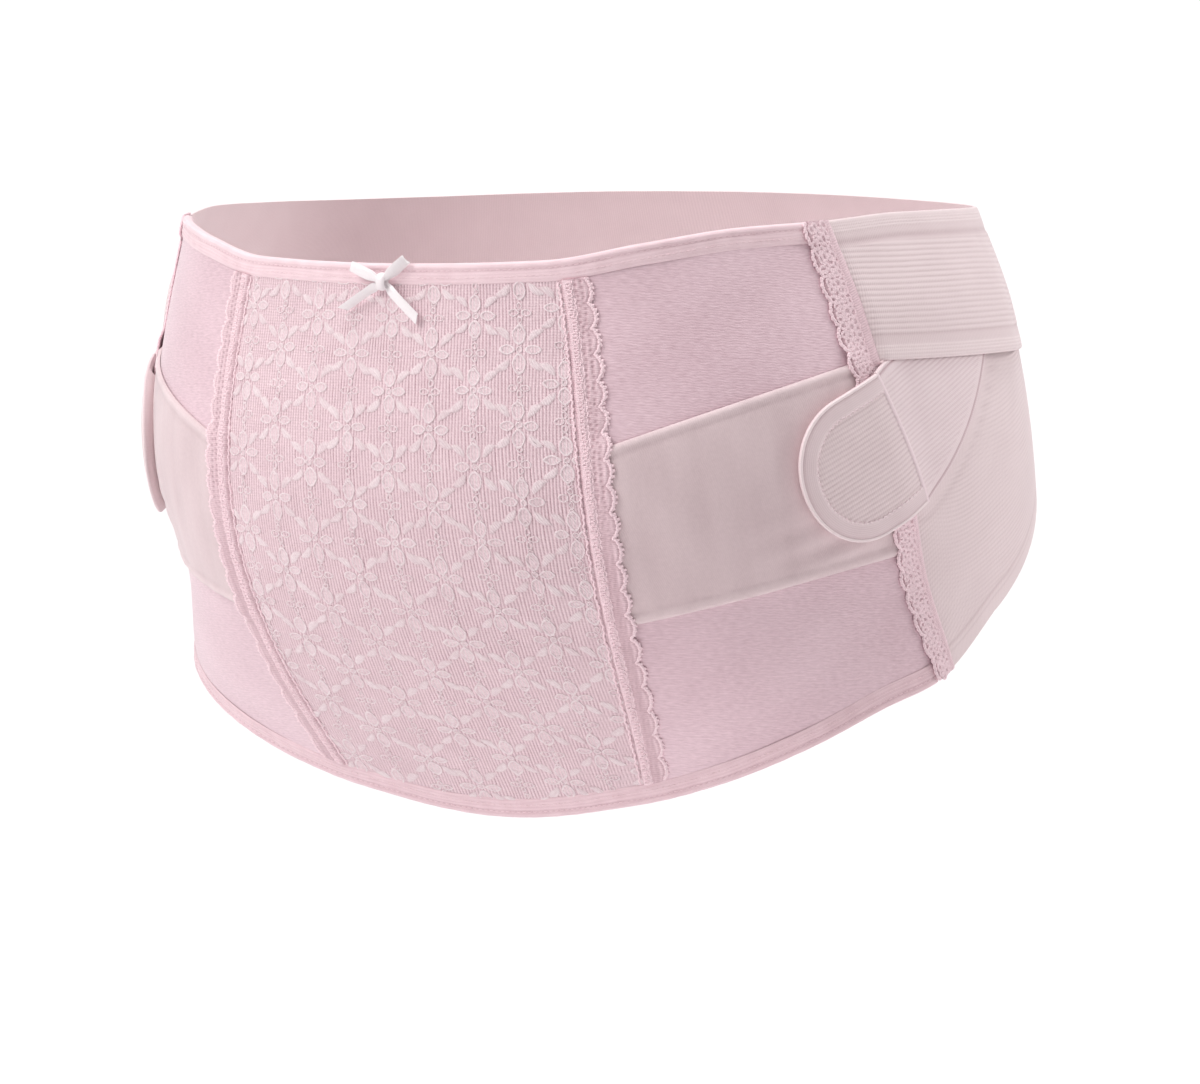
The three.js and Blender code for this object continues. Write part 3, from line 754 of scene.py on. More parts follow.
# Forms that stand in pairs at a crossing of the lattice: the way and distance from its middle, and the seed
LACE_PAIRS = [
    dict(at="flower", shape=UPRIGHT_PETAL, way=(0, 1), distance=4.9, rings=PETAL, seed=41),
    dict(at="flower", shape=SIDE_PETAL, way=(1, 0), distance=4.6, rings=PETAL, seed=42),
    dict(at="cross", shape=CROSS_ARM, way=(1, 0), distance=2.3, rings=OPEN, seed=43),
    dict(at="cross", shape=CROSS_STEM, way=(0, 1), distance=2.4, rings=OPEN, seed=44),
    dict(at="cross", shape=CROSS_TIP, way=(0, 1), distance=5.0, rings=OPEN, seed=45),
]
# How uneven the forms are, and how far they keep from the seams, in degrees, and from the edges
LACE_UNEVEN = dict(size=0.1, shift=0.3, rim=0.16, lift=0.05, form_shade=0.08, shade=0.12)
LACE_CLEAR = dict(seam=0.3, edge=3)


def pointed_oval(width, length, points, cord, point=1.2):
    """Rings of a leaf form about its middle, its tips up and down, with a cord round its rim."""
    turn = np.arange(points) / points * 2 * np.pi
    x = width / 2 * np.sign(np.cos(turn)) * np.abs(np.cos(turn)) ** point
    y = length / 2 * np.sin(turn)
    inner = 1 - 2 * cord / min(width, length)
    sizes = np.concatenate([[0.6 * inner], lerp(inner, 1, np.array([0, 0.35, 0.6, 0.85, 1]))])
    return sizes[:, None, None] * np.stack([x, y], axis=-1)


def pointing(form, direction, distance, bend=0.0):
    """Turns a form to point a way, moves it out that way, and bows it to its left."""
    along = np.array(direction) / np.hypot(*direction)
    right = np.array([along[1], -along[0]])
    x, y = form[..., 0], form[..., 1]
    reach = np.abs(y).max()
    x = x - bend * (1 - (y / reach) ** 2)
    return x[..., None] * right + (y + distance)[..., None] * along


def set_on_lace(builder, centres, form, rings, seed):
    """The same small form, a little uneven, at each centre that lies inside the panel's edges."""
    draw = np.random.default_rng(seed)
    middles, sizes = centres
    count = len(middles)

    def odd(kind, shape):
        return draw.uniform(-LACE_UNEVEN[kind], LACE_UNEVEN[kind], shape)

    spread = LACE_UNEVEN["size"]
    sizes = sizes[:, None, None] * draw.uniform(1 - spread, 1 + spread, (count, 1, 1, 2))
    shifts = odd("shift", (count, 1, 1, 2))
    ragged = odd("rim", (count, 1, form.shape[1], 2))
    spots = middles[:, None, None] + form * sizes + shifts + ragged
    angle, z = angle_of_arc(spots[..., 0]), height_of_rise(spots[..., 1])
    clear_of_seam = front_seam_at(z) - LACE_CLEAR["seam"] - np.abs(angle)
    clear_of_edge = np.minimum(top_edge(angle) - z, z - bottom_edge(angle)) - LACE_CLEAR["edge"]
    clear = (clear_of_seam.min(axis=(1, 2)) > 0) & (clear_of_edge.min(axis=(1, 2)) > 0)
    lift, shade = np.array(rings).T
    lift = lift[:, None] + odd("lift", spots.shape[:3])
    shade = shade[:, None] + odd("form_shade", (count, 1, 1))
    shade = shade + odd("shade", spots.shape[:3])
    points = place(angle, z, CLOTH + 0.08 + lift)
    builder.add_pillows(points[clear], spots[clear], np.clip(shade, 0, 1)[clear])


def lace_flowers():
    builder = Builder()
    centres = dict(flower=lattice_points(0), cross=lattice_points(1))
    set_on_lace(builder, centres["flower"], pointed_oval(**FLOWER_EYE), PETAL, 40)
    for up in (1, -1):
        for pair in LACE_PAIRS:
            across, along = pair["way"]
            form = pointing(pointed_oval(**pair["shape"]), (up * across, up * along), pair["distance"])
            set_on_lace(builder, centres[pair["at"]], form, pair["rings"], pair["seed"])
        for side in (1, -1):
            diagonal = (side * LATTICE["across"], up * LATTICE["up"])
            leaf = pointing(pointed_oval(**DIAGONAL_LEAF), diagonal, LEAF_DISTANCE, LEAF_BOW * side * up)
            set_on_lace(builder, centres["flower"], leaf, LEAF, 46 + side)
    return builder.piece("front_lace_flowers", LACE_FLOWER)


# Satin sides, and the soft bands that the tabs fasten on


def side_panel(side, mirrored):
    u, v = sheet_grid("side_panel")
    angle, z = within(lambda z: front_seam_at(z) + SEAM_CLEARANCE,
                      lambda z: rear_seam_at(z) - SEAM_CLEARANCE, panel_bottom, panel_top, u, v)
    swell = 0.16 * waviness(angle / 8, z / 15, 5)
    # Lightness follows the swell: painted highlight where the satin bulges, painted shade where it sinks
    return layer_piece(f"side_panel_{side}_cloth", SATIN, mirrored,
                       angle, z, 0.0, CLOTH + swell - 0.08, side_map(angle, z), 0.6 + swell)


def landing_band(side, mirrored):
    u, v = sheet_grid("landing_band")
    angle, z = within(lambda z: front_seam_at(z) + FRONT_TRIM["band_end"],
                      lambda z: rear_seam_at(z) + REAR_TRIM["band_end"], band_bottom_at, band_top_at, u, v)
    edge = np.minimum(z - band_bottom_at(angle), band_top_at(angle) - z)
    swell = 0.14 * waviness(angle / 3.2, z / 9, 8) + 0.1 * waviness(angle / 1.3, z / 30, 9)
    pull = BAND_PULL
    pulled = groove(angle - pull["angle"], pull["angle_spread"])
    pulled = pulled * groove(z - pull["z"], pull["height_spread"])
    swell = swell + pull["height"] * pulled * np.sin(0.62 * z - 0.55 * angle)
    rolled = 0.45 * groove(edge - 1.7, 1.3) - 0.2 * groove(edge - 4.2, 1.0)
    rolled = rolled * (1 + 0.35 * waviness(angle / 0.9, z / 12, 10))
    thickness = (BAND_OUTER - BAND_INNER - 0.08 + swell + rolled) * soft_edge(edge + 0.1, 1.4)
    # Lightness follows the shape: painted highlight on the bulges and the rolled edges, painted shade in the
    # hollows and in the dip behind each roll
    painted_shade_and_tone = np.clip(0.6 + 0.9 * swell + 0.9 * rolled, 0, 1)
    return layer_piece(f"landing_band_{side}_cloth", BRUSHED, mirrored,
                       angle, z, BAND_INNER, BAND_INNER + thickness, side_map(angle, z), painted_shade_and_tone)


# Lace trims over the seams


def rise_over_band(seam, z):
    """How far a trim's scalloped edge rises to pass over the landing band's end."""
    low, high = band_bottom_at(seam(z)), band_top_at(seam(z))
    rising = smoothstep(z, low - TRIM_RAMP, low - GAP)
    falling = 1 - smoothstep(z, high + GAP, high + TRIM_RAMP)
    return TRIM_RISE_OVER_BAND * rising * falling


class Trim:
    """A strip of lace along a seam; x is millimetres from its straight edge, y along it from its foot."""

    MM_PER_DEGREE = 2.66

    def __init__(self, seam, sizes, low, high, scallop_depth, tape_rise=0.0, under=None):
        self.seam, self.sizes, self.low, self.high = seam, sizes, low, high
        self.tape_rise, self.under = tape_rise, under
        rise = high(seam(0.0)) - low(seam(0.0))
        self.scallops = round(float(rise / SCALLOP_PITCH))
        line = self.points(np.zeros(401), even(400), 0.0)[0]
        self.length = running_length(line, 0)[-1]
        self.width = abs(sizes["scalloped"] - sizes["straight"]) * self.MM_PER_DEGREE
        self.depth = scallop_depth

    def spots(self, x, v):
        way = np.sign(self.sizes["scalloped"] - self.sizes["straight"])
        beside = self.sizes["straight"] + way * x / self.MM_PER_DEGREE

        def edge(z):
            return self.seam(z) + beside

        angle, z = within(edge, edge, self.low, self.high, np.zeros_like(x), v)
        share = (beside - self.sizes["straight"]) / (self.sizes["scalloped"] - self.sizes["straight"])
        from_end = np.minimum(self.high(angle) - z, z - self.low(angle))
        tape = BINDING["height"]
        over_tape = self.tape_rise * (1 - smoothstep(from_end, tape - 1, tape + 1.5))
        back = TRIM_INNER + np.clip(share, 0, 1) * (rise_over_band(self.seam, z) + over_tape)
        if self.under:
            back = np.maximum(back, self.under(angle, z))
        return angle, z, back

    def points(self, x, v, height):
        angle, z, back = self.spots(x, v)
        return place(angle, z, back + height), body_normal(angle, z)

    def edge_at(self, v, power=0.6):
        """Where the scalloped edge lies."""
        return self.width + self.depth * np.abs(np.sin(np.pi * v * self.scallops)) ** power

    def threads(self, builder, x, y, height, radius, closed=False, flat=1.0, sides=6):
        """Threads through arrays of x and y."""
        height = np.broadcast_to(height, np.shape(x))
        path, normals = self.points(np.asarray(x, float), np.asarray(y) / self.length, height)
        builder.add_threads(path, normals, round_section(radius, sides, flat), 0.95, closed)

    def backing(self, name, mirrored, holes, ridge):
        """The net under the threads: holes gives its dips and the painted shade laid in them, and ridge its
        raised strips, painted lighter, by x and y.
        """
        u, v = grid(even(TRIM_MESH["across"]), even(round(self.length / TRIM_MESH["row_height"])))
        x = u * (self.edge_at(v) - 0.5)
        y = v * self.length
        hole, raised = holes(x, y), ridge(x, y)
        from_edge = np.minimum(self.edge_at(v) - 0.5 - x, 2 * x)
        height = (0.5 + raised - 0.3 * hole) * lerp(0.3, 1, smoothstep(from_edge, 0, 1.6))
        angle, z, back = self.spots(x, v)
        # Painted shade in the holes and dips, painted highlight on the raised strips
        painted_shade_and_tone = np.clip(0.62 + 0.5 * raised - 0.6 * hole, 0, 1)
        return layer_piece(name, LACE_THREAD, mirrored, angle, z, back, back + height,
                           np.stack([x, y], axis=-1), painted_shade_and_tone, HIDDEN_STEPS["trim"])


def hole_rows(x, y, columns, pitch, size, jitter):
    """Staggered columns of small holes, uneven by a seeded jitter: 1 in a hole and 0 between."""
    draw = np.random.default_rng(11)
    total = 0.0
    for n, middle in enumerate(columns):
        row = np.round(y / pitch - 0.5 * (n % 2)).astype(int)
        shift = draw.uniform(-jitter, jitter, (400, 2))[row % 400]
        dx = x - middle - shift[..., 0]
        dy = y - (row + 0.5 * (n % 2)) * pitch - shift[..., 1]
        total = np.maximum(total, np.exp(-(dx**2 + dy**2) / size**2))
    return total


def rings(centres, half_across, half_along, points=12):
    turn = np.arange(points) / points * 2 * np.pi
    x = centres[:, :1] + half_across * np.cos(turn)
    y = centres[:, 1:] + half_along * np.sin(turn)
    return x, y


FRONT_STRIP = dict(first=0.9, last=3.9, knot=1.5)
FRONT_HOLES = dict(columns=(5.0, 6.9), pitch=2.1, size=0.66, jitter=0.4)
REAR_STRIP = dict(middle=1.5, half_width=1.5)
REAR_KNOTS = dict(columns=(4.2, 6.3, 8.3, 10.2), pitch=2.6, radius=1.15, uneven=0.4)
REAR_HOLES = dict(columns=REAR_KNOTS["columns"], pitch=REAR_KNOTS["pitch"], size=0.6, jitter=0.5)


def uneven(count, amount, seed):
    return np.random.default_rng(seed).uniform(-amount, amount, count)


def scallop_edge(trim, builder, teeth, inset, tooth, height, seed):
    """A lumpy cord along the scalloped edge, and small pointed loops on each scallop."""
    y = np.linspace(0.5, trim.length - 0.5, 460)
    edge = trim.edge_at(y / trim.length)
    lumps = 0.2 * np.sin(2 * np.pi * y / 1.9) + 0.2 * waviness(y / 1.1, y / 3, seed)
    trim.threads(builder, (edge - inset + lumps)[None], y[None], height, 0.66, flat=0.8, sides=6)
    count = trim.scallops * teeth
    along = (np.arange(count) + 0.5 + uneven(count, 0.16, seed)) / count * trim.length
    tip = trim.edge_at(along / trim.length)[:, None]
    reach = np.linspace(-inset - 0.5, tooth, 5)
    lean = 0.35 * np.cos(np.pi * along / trim.length * trim.scallops)[:, None]
    trim.threads(builder, tip + reach, along[:, None] - lean * reach, height + 0.04 * reach, 0.5, flat=0.75)


def front_trim(side, mirrored):
    trim = Trim(front_seam_at, FRONT_TRIM,
                lambda angle: bottom_edge(angle) + BINDING["height"],
                lambda angle: top_edge(angle) - BINDING["height"], FRONT_SCALLOP_DEPTH)
    strip = FRONT_STRIP
    middle = (strip["first"] + strip["last"]) / 2

    # Painted shade on the net: dark holes, dark slits inside the scallops, a darker zone between the strip
    # and the scallops, and a dark groove beside the straight edge
    def net(x, y):
        upper = smoothstep(y / trim.length, 0.4, 0.65)
        dips = lerp(0.3, 0.9, upper) * hole_rows(x, y, **FRONT_HOLES)
        slits = groove(x - trim.edge_at(y / trim.length) + 1.8, 0.5) * (0.5 + 0.5 * rib(y / 1.6))
        shade = lerp(0.4, 0.1, upper) * smoothstep(x, 3.9, 4.6) * (1 - smoothstep(x, 7.4, 8.4))
        beside = (0.4 + 0.3 * waviness(y / 1.3, x, 58)) * groove(x - 0.2, 0.4)
        return np.maximum(np.maximum(dips, 0.5 * slits), np.maximum(shade, beside))

    def ridge(x, y):
        weave = 0.1 * waviness(x * 2.2, y * 2.6, 51) + 0.08 * rib(y / strip["knot"] + 0.3 * x)
        lumps = (0.2 + 0.12 * waviness(x * 2.4, y * 2.1, 57)) * smoothstep(x, 3.6, 4.6)
        return (0.36 + weave) * smoothstep(x, 0.3, 1.1) * (1 - smoothstep(x, 3.4, 4.3)) + lumps

    cloth = trim.backing(f"front_trim_{side}_cloth", mirrored, net, ridge)
    builder = Builder()
    y = np.linspace(0.5, trim.length - 0.5, 440)
    for x, height, seed in ((-0.8, 0.15, 52), (strip["last"], 0.5, 53)):
        wave = x + 0.2 * np.sin(2 * np.pi * y / 2.6) + 0.3 * waviness(y / 1.6, y / 5, seed)
        trim.threads(builder, wave[None], y[None], height, 0.42, sides=5)
    steps = np.arange(1.4, trim.length - 1.2, strip["knot"])
    knots = np.stack([middle + uneven(len(steps), 0.5, 54), steps + uneven(len(steps), 0.3, 55)], axis=1)
    trim.threads(builder, *rings(knots, 0.95, 0.62, 8), 0.86, 0.36, closed=True, sides=5)
    scallop_edge(trim, builder, teeth=5, inset=0.9, tooth=0.25, height=0.22, seed=56)
    return cloth, builder.piece(f"front_trim_threads_{side}", LACE_THREAD, mirrored)


def rear_trim(side, mirrored):
    def over_back_band(angle, z):
        rising = smoothstep(z, UPPER_BAND_BOTTOM - 5, UPPER_BAND_BOTTOM)
        return rising * (upper_band_lift(angle, z) + BACK_BAND_THICKNESS)

    trim = Trim(rear_seam_at, REAR_TRIM, lambda angle: bottom_edge(angle) + REAR_TRIM_FOOT, top_edge,
                REAR_SCALLOP_DEPTH, RISE_OVER_TAPE, over_back_band)
    strip, knot = REAR_STRIP, REAR_KNOTS

    # Painted shade on the net: dark holes, and a dark line beside the cord of the scalloped edge
    def net(x, y):
        dips = 0.4 * hole_rows(x, y, **REAR_HOLES)
        return np.maximum(dips, 0.75 * groove(x - trim.edge_at(y / trim.length) + 1.5, 0.45))

    def ridge(x, y):
        return 0.38 * groove(x - strip["middle"], strip["half_width"]) + 0.08 * waviness(x * 1.5, y * 1.7, 61)

    cloth = trim.backing(f"rear_trim_{side}_cloth", mirrored, net, ridge)
    builder = Builder()
    for n, middle in enumerate(knot["columns"]):
        steps = np.arange(1.0 + 0.5 * knot["pitch"] * (n % 2), trim.length - 1.0, knot["pitch"])
        centres = np.stack([middle + uneven(len(steps), 0.55, 62 + n),
                            steps + uneven(len(steps), 0.75, 66 + n)], axis=1)
        across, along = (knot["radius"] + uneven((len(steps), 1), knot["uneven"], seed + n)
                         for seed in (71, 75))
        trim.threads(builder, *rings(centres, across, along, 10), 0.42, 0.62, closed=True, flat=0.7, sides=5)
    scallop_edge(trim, builder, teeth=4, inset=0.6, tooth=0.15, height=0.4, seed=68)
    y = np.linspace(0.4, trim.length - 0.4, 340)
    wave = 3.0 + 0.25 * np.sin(2 * np.pi * y / knot["pitch"]) + 0.2 * waviness(y / 1.5, y / 4, 69)
    trim.threads(builder, wave[None], y[None], 0.6, 0.34, sides=5)
    return cloth, builder.piece(f"rear_trim_threads_{side}", LACE_THREAD, mirrored)


# Tape folded over the front edges


# Across the tape from front hem to back hem: depth below the belt's edge, and height of its face
TAPE_PROFILE = [
    (7.5, 1.02), (7.45, 1.1), (7.3, 1.2), (6.95, 1.36), (6.4, 1.52), (5.7, 1.64), (5.2, 1.62), (4.8, 1.72),
    (4.45, 1.8), (4.1, 1.78), (3.7, 1.86), (3.3, 1.9), (2.95, 1.86), (2.65, 1.82), (2.35, 1.98), (2.0, 2.22),
    (1.5, 2.36), (1.0, 2.32), (0.5, 2.05), (0.15, 1.6), (0.0, 0.9), (0.0, 0.1), (0.15, -0.6), (0.5, -1.15),
    (1.1, -1.42), (2.5, -1.5), (4.4, -1.5), (6.2, -1.5), (7.2, -1.42), (7.45, -1.25), (7.5, -0.9),
]


def folded_tape(name, edge, way, lightness):
    """way is 1 for the top edge and -1 for the bottom edge."""
    depth, face = np.array(TAPE_PROFILE[::way]).T
    height = BINDING["height"]

    def end(z):
        return np.minimum(rear_seam_at(z), rear_seam_at(z - way * height)) - BINDING["end_before_seam"]

    u = even(TAPE_MESH_LINES)
    angle, z = within(lambda z: -end(z), end, edge, edge, u, np.zeros_like(u))
    run = running_length(place(angle, z, 2.0), 0)
    pucker = 0.07 * waviness(run[:, None] / 1.7, depth * 1.3, 4) + 0.06 * waviness(run[:, None] / 5, depth, 6)
    heights = face + pucker * (face > 1.5)
    lining = np.clip(heights, -BINDING["clearance"], CLOTH)
    under = np.maximum(depth, BINDING["wall"])
    tall = np.broadcast_to(angle[:, None], heights.shape)
    outside = place(tall, z[:, None] - way * depth, heights)
    inside = place(tall, z[:, None] - way * under, lining)
    around = np.concatenate([[0], np.cumsum(np.hypot(np.diff(depth), np.diff(face)))])
    cloth = np.stack(np.broadcast_arrays(run[:, None], around), axis=-1)
    streaks = 0.14 * np.sin(2 * np.pi * depth / 1.15 + 2.5 * waviness(run[:, None] / 9, depth * 0.4, 7))
    # Lightness: painted highlight on the rise of the puckers and painted shade in the groove along the stitch
    # line; the streaks are the tape's own weave
    painted_shade_and_tone = np.clip(lightness + 0.9 * pucker + streaks - 0.45 * groove(depth - 2.75, 0.35), 0.1, 1)
    painted_shade_and_tone = np.where(face < 1, 0.6, painted_shade_and_tone)
    builder = Builder()
    builder.add_sheet(outside, inside, cloth, painted_shade_and_tone)
    tape = builder.piece(f"{name}_cloth", TAPE)
    stitches = Builder()
    for line in TAPE_SEAMS:
        level = z - way * line["depth"]
        seam = place(angle, level, np.full_like(z, line["lift"]))
        add_stitches(stitches, seam, body_normal(angle, level), **TAPE_STITCH)
    return tape, stitches.piece(f"{name}_stitches", TAPE)


# Ribbed elastic round the back


def back_start(z):
    return rear_seam_at(z) + SEAM_CLEARANCE


def back_end(z):
    return 360 - back_start(z)


def upper_band_lift(angle, z):
    side = fold_angle(angle)
    climb = smoothstep(side - rear_seam_at(z), CLIMB_START, CLIMB_END)
    strap = 1 - smoothstep(side, STRAP_COVER_END, STRAP_COVER_END + STRAP_COVER_FADE)
    settle = 1 - smoothstep(z, LIFT_FULL_BELOW, LIFT_NONE_ABOVE)
    return settle * climb * (LOWER_PANEL_LIFT + STRAP_LIFT * strap)


def upper_back_band():
    u, v = sheet_grid("upper_band")
    angle, z = within(back_start, back_end, lambda angle: UPPER_BAND_BOTTOM + 0 * angle, top_edge, u, v)
    below_top, above_bottom = top_edge(angle) - z, z - UPPER_BAND_BOTTOM
    wander = 0.12 * waviness(angle / 6, z / 14, 12)
    crest = rib(above_bottom / UPPER_RIB["pitch"] + wander)
    ribbed = smoothstep(below_top, *UPPER_HEM["top"]) * smoothstep(above_bottom, *UPPER_HEM["bottom"])
    ribs = UPPER_FINE_RIBS
    fine = rib(below_top / ribs["top_pitch"]) * (1 - smoothstep(below_top, *ribs["top"]))
    fine = fine + rib(above_bottom / ribs["bottom_pitch"]) * (1 - smoothstep(above_bottom, *ribs["bottom"]))
    hem = (1 - ribbed) * (0.06 + 0.16 * fine)
    dip = groove(below_top - 8.3, 1.1) + 0.5 * groove(above_bottom - 8.6, 0.7)
    edge = np.minimum(below_top, above_bottom)
    thickness = BACK_BAND_THICKNESS - 0.26 + UPPER_RIB["height"] * crest * ribbed + hem
    thickness = (thickness - 0.26 * dip + 0.12 * wander) * soft_edge(edge + 0.1, 1.2)
    lift = upper_band_lift(angle, z)
    # Lightness: painted highlight on the rib crests and the fine hem ribs, painted shade in the valleys and
    # in the dips along the hems
    painted_shade_and_tone = ribbed * (0.4 + 0.42 * crest) + (1 - ribbed) * (0.62 + 0.3 * fine) - 0.34 * dip
    return layer_piece("upper_back_band_cloth", RIBBED, False,
                       angle, z, lift, lift + thickness, side_map(angle, z), np.clip(painted_shade_and_tone, 0, 1),
                       HIDDEN_STEPS["upper_band"])


def lower_panel_top(angle):
    behind_seam = fold_angle(angle) - rear_seam_at(UPPER_BAND_BOTTOM)
    return lerp(UPPER_BAND_BOTTOM - 2 * GAP, LOWER_PANEL_TOP, smoothstep(behind_seam, CLIMB_END, TUCK_END))


def beyond_strap(angle, z):
    """Distance from the strap's lower edge on the unrolled side."""
    line = bezier(tab_point(TAB["straight"], -TAB["radius"]), STRAP_BOTTOM_BEND, STRAP_BOTTOM_END, even(60))
    s = (fold_angle(angle) - TAB_TIP_ANGLE) * SIDE_MM_PER_DEGREE
    return np.hypot(s[..., None] - line[:, 0], z[..., None] - line[:, 1]).min(axis=-1)


def lower_back_panel():
    u, v = sheet_grid("lower_panel")
    angle, z = within(back_start, back_end, bottom_edge, lower_panel_top, u, v)
    above_bottom = z - bottom_edge(angle)
    wander = 0.1 * waviness(angle / 6, z / 14, 15)
    behind_seam = (fold_angle(angle) - rear_seam_at(z)) * SIDE_MM_PER_DEGREE
    steeper = LOWER_RIB["lean"] * np.clip(behind_seam, 0, LOWER_RIB["lean_end"])
    crest = rib((above_bottom - steeper) / LOWER_RIB["pitch"] + wander)
    beside = beyond_strap(angle, z)
    hem = groove(np.maximum(beside - 3.2, 0), 1.6)
    ribbed = smoothstep(above_bottom, *LOWER_HEM) * (1 - hem)
    dip = groove(above_bottom - 9.0, 0.7) + 0.6 * groove(above_bottom - 6.4, 0.4)
    dip = dip + 0.5 * groove(beside - 7, 1)
    thickness = CLOTH - 0.24 + LOWER_RIB["height"] * crest * ribbed + 0.2 * (1 - ribbed)
    thickness = (thickness - 0.22 * dip) * soft_edge(above_bottom + 0.1, 1.2)
    # Lightness: painted highlight on the rib crests, painted shade in the valleys, in the dips along the hem
    # and in the groove beside the strap's edge
    painted_shade_and_tone = ribbed * (0.46 + 0.36 * crest) + (1 - ribbed) * 0.76 - 0.34 * dip
    cloth = side_map(angle, above_bottom)
    return layer_piece("lower_back_panel_cloth", RIBBED, False,
                       angle, z, 0.0, thickness, cloth, np.clip(painted_shade_and_tone, 0, 1), HIDDEN_STEPS["lower_panel"])


# Tabs


def tab_point(along, across):
    tilt = math.radians(TAB["tilt"])
    along, across = np.broadcast_arrays(np.asarray(along, float), np.asarray(across, float))
    s = TAB_CENTRE[0] + along * math.cos(tilt) - across * math.sin(tilt)
    z = TAB_CENTRE[1] + along * math.sin(tilt) + across * math.cos(tilt)
    return np.stack([s, z], axis=-1)


def tab_spot(spot):
    """Angle, height and layer of a place on the unrolled side."""
    angle = TAB_TIP_ANGLE + spot[..., 0] / SIDE_MM_PER_DEGREE
    z = spot[..., 1]
    drop = smoothstep(angle - rear_seam_at(z), TAB_DROP_START, TAB_DROP_END)
    return angle, z, lerp(TAB_FRONT_LIFT, TAB_REAR_LIFT, drop)


def tab_layer(name, material, mirrored, spot, thickness, cloth, painted_shade_and_tone):
    """A piece that is one closed sheet on the unrolled side."""
    angle, z, lift = tab_spot(spot)
    return layer_piece(name, material, mirrored, angle, z, lift, lift + thickness, cloth, painted_shade_and_tone)


def tab_end(side, mirrored):
    radius = TAB["radius"] - TAB["rim"] + 0.3
    turn = np.radians(np.linspace(TAB_MESH["first_turn"], 90, TAB_MESH["round_lines"]))
    straight = np.linspace(0, TAB["straight"] - GAP, TAB_MESH["straight_lines"])[1:]
    along = np.concatenate([-radius * np.cos(turn), straight])
    half = np.concatenate([radius * np.sin(turn), np.full(len(straight), radius)])
    station, v = grid(np.arange(len(along)), even(TAB_MESH["across"]))
    across = lerp(-half[station], half[station], v)
    crest = rib(across / TAB_RIB["pitch"] + 0.06 * waviness(along[station] / 7, across / 5, 31))
    thickness = TAB_END_THICKNESS - 0.24 + TAB_RIB["height"] * crest
    cloth = np.stack([along[station], across], axis=-1)
    # Lightness: painted highlight on the rib crests and painted shade in the valleys
    return tab_layer(f"tab_end_{side}_cloth", RIBBED, mirrored,
                     tab_point(along[station], across), thickness, cloth, 0.35 + 0.45 * crest)


def rim_line(radius, count=130):
    """Points round the tab at one distance from its axis, from the cross seam's foot to its top."""
    leg = TAB["straight"] - GAP
    steps = np.linspace(0, 2 * leg + np.pi * radius, count)
    turn = np.pi / 2 + np.pi * np.clip((steps - leg) / (np.pi * radius), 0, 1)
    bend = np.stack([radius * np.cos(turn), radius * np.sin(turn)], axis=1)
    before, after = np.clip(leg - steps, 0, None), np.clip(steps - leg - np.pi * radius, 0, None)
    return (bend + np.stack([before + after, 0 * steps], axis=1))[::-1]


# Across the rim from its outer to its inner edge: distance from the inner edge, height, and lightness, which
# paints shade on the outer wall and in the groove and a highlight on the piping
RIM_PROFILE = [
    (7.0, 0.9, 0.3), (6.9, 1.6, 0.6), (6.65, 1.95, 0.85), (6.35, 2.06, 0.95), (6.0, 2.0, 0.9),
    (5.75, 1.82, 0.5), (5.55, 1.7, 0.2), (5.3, 1.8, 0.25), (4.8, 1.92, 0.4), (3.8, 2.0, 0.48),
    (2.6, 2.02, 0.5), (1.5, 2.0, 0.52), (0.9, 1.98, 0.6), (0.4, 1.88, 0.85), (0.12, 1.72, 0.85),
    (0.0, 1.5, 0.7),
]
RIM_FOOT = dict(drop=2.2, starts=-5, ends=-3)


def tab_rim(side, mirrored):
    inset, height, shade = np.array(RIM_PROFILE).T
    radius = TAB["radius"] - TAB["rim"] + inset
    lines = np.stack([rim_line(r) for r in radius])
    under_lines = np.stack([rim_line(r) for r in radius - RIM_UNDERCUT * inset])
    run = running_length(lines[0], 0)
    swell = 0.06 * waviness(run / 4, run / 9, 33)
    thickness = height[:, None] + swell
    cloth = np.stack(np.broadcast_arrays(inset[:, None], run), axis=-1)
    builder = Builder()
    painted_shade_and_tone = np.broadcast_to(shade[:, None], thickness.shape)
    angle, z, lift = tab_spot(tab_point(lines[..., 0], lines[..., 1]))
    outside = place(angle, z, lift + thickness)
    angle, z, lift = tab_spot(tab_point(under_lines[..., 0], under_lines[..., 1]))
    beside_seam = angle - rear_seam_at(z)
    drop = RIM_FOOT["drop"] * (1 - smoothstep(beside_seam, RIM_FOOT["starts"], RIM_FOOT["ends"]))
    builder.add_sheet(outside, place(angle, z, lift - drop), cloth, painted_shade_and_tone)
    return builder.piece(f"tab_rim_{side}_cloth", PALE_TAPE, mirrored)


